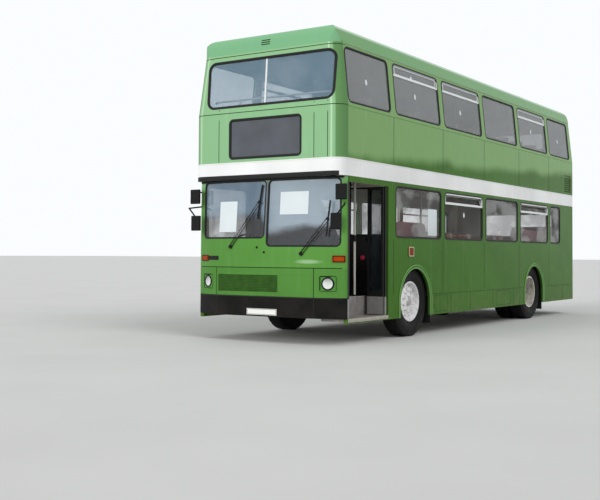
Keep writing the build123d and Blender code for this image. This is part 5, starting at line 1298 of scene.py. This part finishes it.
# Painted reflection: the pane is a pale green-white, greyed a little by dust.
glass.set(Base_Color=glass.mix(film, paint(214, 232, 226), paint(148, 150, 146)),
          Roughness=0.04 + film * 0.12, Alpha=0.22 + film * 0.12 + runs * 0.10,
          Normal=glass.bump(glass.noise(1.1, 1.0), 0.004))
draught_pane.piece("draught_screen_pane", "clear_glass", glass)
diagonal.tube([(screen_x + 0.010, 0.82, 1.455), (screen_x + 0.045, 0.83, 1.440),
               (screen_x + 0.045, 1.09, 1.135), (screen_x + 0.010, 1.10, 1.120)], 0.011, 12)
diagonal.piece("draught_screen_handrail", "rail_paint", cab_black)
button.turned([(0.036, 0.0), (0.036, 0.010), (0.028, 0.016), (0.0005, 0.018), (0.0005, 0.0)], 28,
              placed(screen_x + half_thick, 0.780, 1.170, -pi / 2))
button.piece("push_button", "red_lens", plain_finish("red_plastic", paint(206, 44, 76), 0.35, 0.15))

# Seats. Tubular steel frames with moulded backs; the cushions and squabs are foam under woven wool
# cloth, with two sewn channels across each.
cloth = Finish("seat_cloth", Sheen_Weight=0.3)
x, y, z = cloth.axes()
weave = (x * 1900.0).wave() * (y * 1900.0).wave() + (z * 1900.0).wave() * 0.5
check = ((x + z) * 62.0).wave().fade(0.2, 0.5) * (y * 62.0).wave().fade(0.2, 0.5)
cloth_red = cloth.mix(cloth.noise(4.0, 4.0), paint(96, 36, 34), paint(122, 50, 44))
cloth.set(Base_Color=cloth.mix(check, cloth_red, paint(168, 104, 60)), Roughness=0.92,
          Normal=cloth.bump(weave, 0.0012))
squab_back = plain_finish("squab_back", paint(150, 140, 120), 0.45, 0.2, 7.0)
seat_frame_grey = plain_finish("seat_frame", paint(120, 120, 116), 0.4, 0.2, 9.0)
pad_cuts, pad_power, pad_clear = 5, 7.0, 0.006
channel_depth, channel_place, channel_half = 0.006, 0.36, 0.10
pad_grid = bmesh.new()
bmesh.ops.create_cube(pad_grid, size=2.0)
bmesh.ops.subdivide_edges(pad_grid, edges=pad_grid.edges[:], cuts=pad_cuts, use_grid_fill=True)
pad_grid.verts.index_update()
pad_points = [p.co.copy() for p in pad_grid.verts]
pad_faces = [[p.index for p in face.verts] for face in pad_grid.faces]
pad_grid.free()


def pad(shape, half, crown, move):
    """A crowned pad: its sides draw in between the corners and two channels run across its face."""
    points = []
    for p in pad_points:
        u, v, w = p / sum(abs(part) ** pad_power for part in p) ** (1 / pad_power)
        up = 0.0
        if w > 0:
            up = crown * (1 - u * u) * (1 - v * v)
            up -= channel_depth * max(0.0, 1 - abs(abs(v) - channel_place) / channel_half)
        points.append((half[0] * u * (1 - 0.030 * (1 - v * v)), half[1] * v * (1 - 0.020 * (1 - u * u)),
                       half[2] * w + up))
    shape.add(points, pad_faces, move)


squab_half, squab_tilt = 0.265, radians(12)
leg_bends = ((-0.115, 0.002), (-0.115, 0.325), (0.18, 0.325), (0.115, 0.002))   # ahead, up


def seat(x, y0, y1, z):
    """A forward-facing seat for two between two places across the bus."""
    middle, half = (y0 + y1) / 2, (y1 - y0) / 2 - pad_clear
    pad(pads, (0.168, half, 0.052), 0.010, placed(x + 0.055, middle, z + 0.384, radians(-3), "Y"))
    back = placed(x - 0.196, middle, z + 0.700, pi / 2 - squab_tilt, "Y")
    pad(pads, (squab_half - 0.02, half, 0.030), 0.008, back)
    shells.box((-squab_half, -half, -0.052), (squab_half - 0.03, half, -0.034), 0.008, 3, back)
    top = back @ Vector((0.006 - squab_half, 0, -0.03))
    tubes.tube([(top.x, middle + half * share, top.z - drop)
                for share, drop in ((-0.86, 0.02), (-0.80, 0.0), (0.80, 0.0), (0.86, 0.02))], 0.009, 8)
    for y in (y0 + 0.05, y1 - 0.05):
        tubes.tube([(x + ahead, y, z + up) for ahead, up in leg_bends], 0.012, 8)


def side_seat(x, side):
    """A seat over a wheel box that faces the gangway."""
    inner, half = side * (half_width - 0.3753), 0.520 - pad_clear
    pad(pads, (0.218, half, 0.050), 0.010, placed(x, inner + side * 0.010, box_top_z + 0.062, pi / 2))
    back = placed(x, inner + side * 0.268, box_top_z + 0.360, pi / 2) @ Matrix.Rotation(side * pi / 2, 4, "Y")
    pad(pads, (0.250, half, 0.028), 0.004, back)


def row(first, last, least):
    """Even places from first back to last, no closer than least."""
    count = int((first - last) / least)
    return [first + (last - first) * i / count for i in range(count + 1)]


least_pitch, aisle = 0.690, 0.320
lower_wall, upper_wall = half_width - 0.0503, 1.165
stair_hole = (1.340, 3.700)
pads, shells, tubes = Shape(), Shape(), Shape()
for i, x in enumerate(row(front_axle_x - 1.130, rear_axle_x + 1.050, least_pitch)):
    seat(x, aisle, lower_wall, lower_floor_z)
    if i:
        seat(x, -lower_wall, -aisle, lower_floor_z)
seat(-3.300, aisle, lower_wall, raised_floor_z)
seat(3.785, -0.880, -0.400, lower_floor_z + 0.160)
for x, side in ((rear_axle_x, 1), (rear_axle_x, -1), (front_axle_x, 1)):
    side_seat(x, side)
for name in ("lower", "upper"):
    if name == "upper":
        pads, shells, tubes = Shape(), Shape(), Shape()
        for x in row(half_length - 0.695, 0.910 - half_length, least_pitch):
            seat(x, aisle, upper_wall, upper_floor_z)
            if not stair_hole[0] <= x <= stair_hole[1]:
                seat(x, -upper_wall, -aisle, upper_floor_z)
    piece = pads.piece(f"{name}_seat_pads", "seat_cloth", cloth, smooth=60)
    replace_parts(piece, f"{name}_seats")
    shells.piece(f"{name}_seat_backs", "interior_laminate", squab_back)
    tubes.piece(f"{name}_seat_frames", "rail_paint", seat_frame_grey)

# Ceilings and mudflaps. Moulded lamp covers in two rows under the upper deck, and flaps of reinforced
# rubber behind the wheels.
rubber.on("mudflaps")
ceiling = Shape()
for x in row(3.0, -3.4, 1.2):
    for y in (-0.52, 0.52):
        ceiling.box((x - 0.30, y - 0.05, deck_under - 0.030),
                    (x + 0.30, y + 0.05, deck_under - 0.001), 0.012, 3)
lamp_cover = plain_finish("lamp_cover", paint(222, 222, 214), 0.3, 0.06, 4.0)
ceiling.piece("saloon_lamp_covers", "plate_white", lamp_cover)
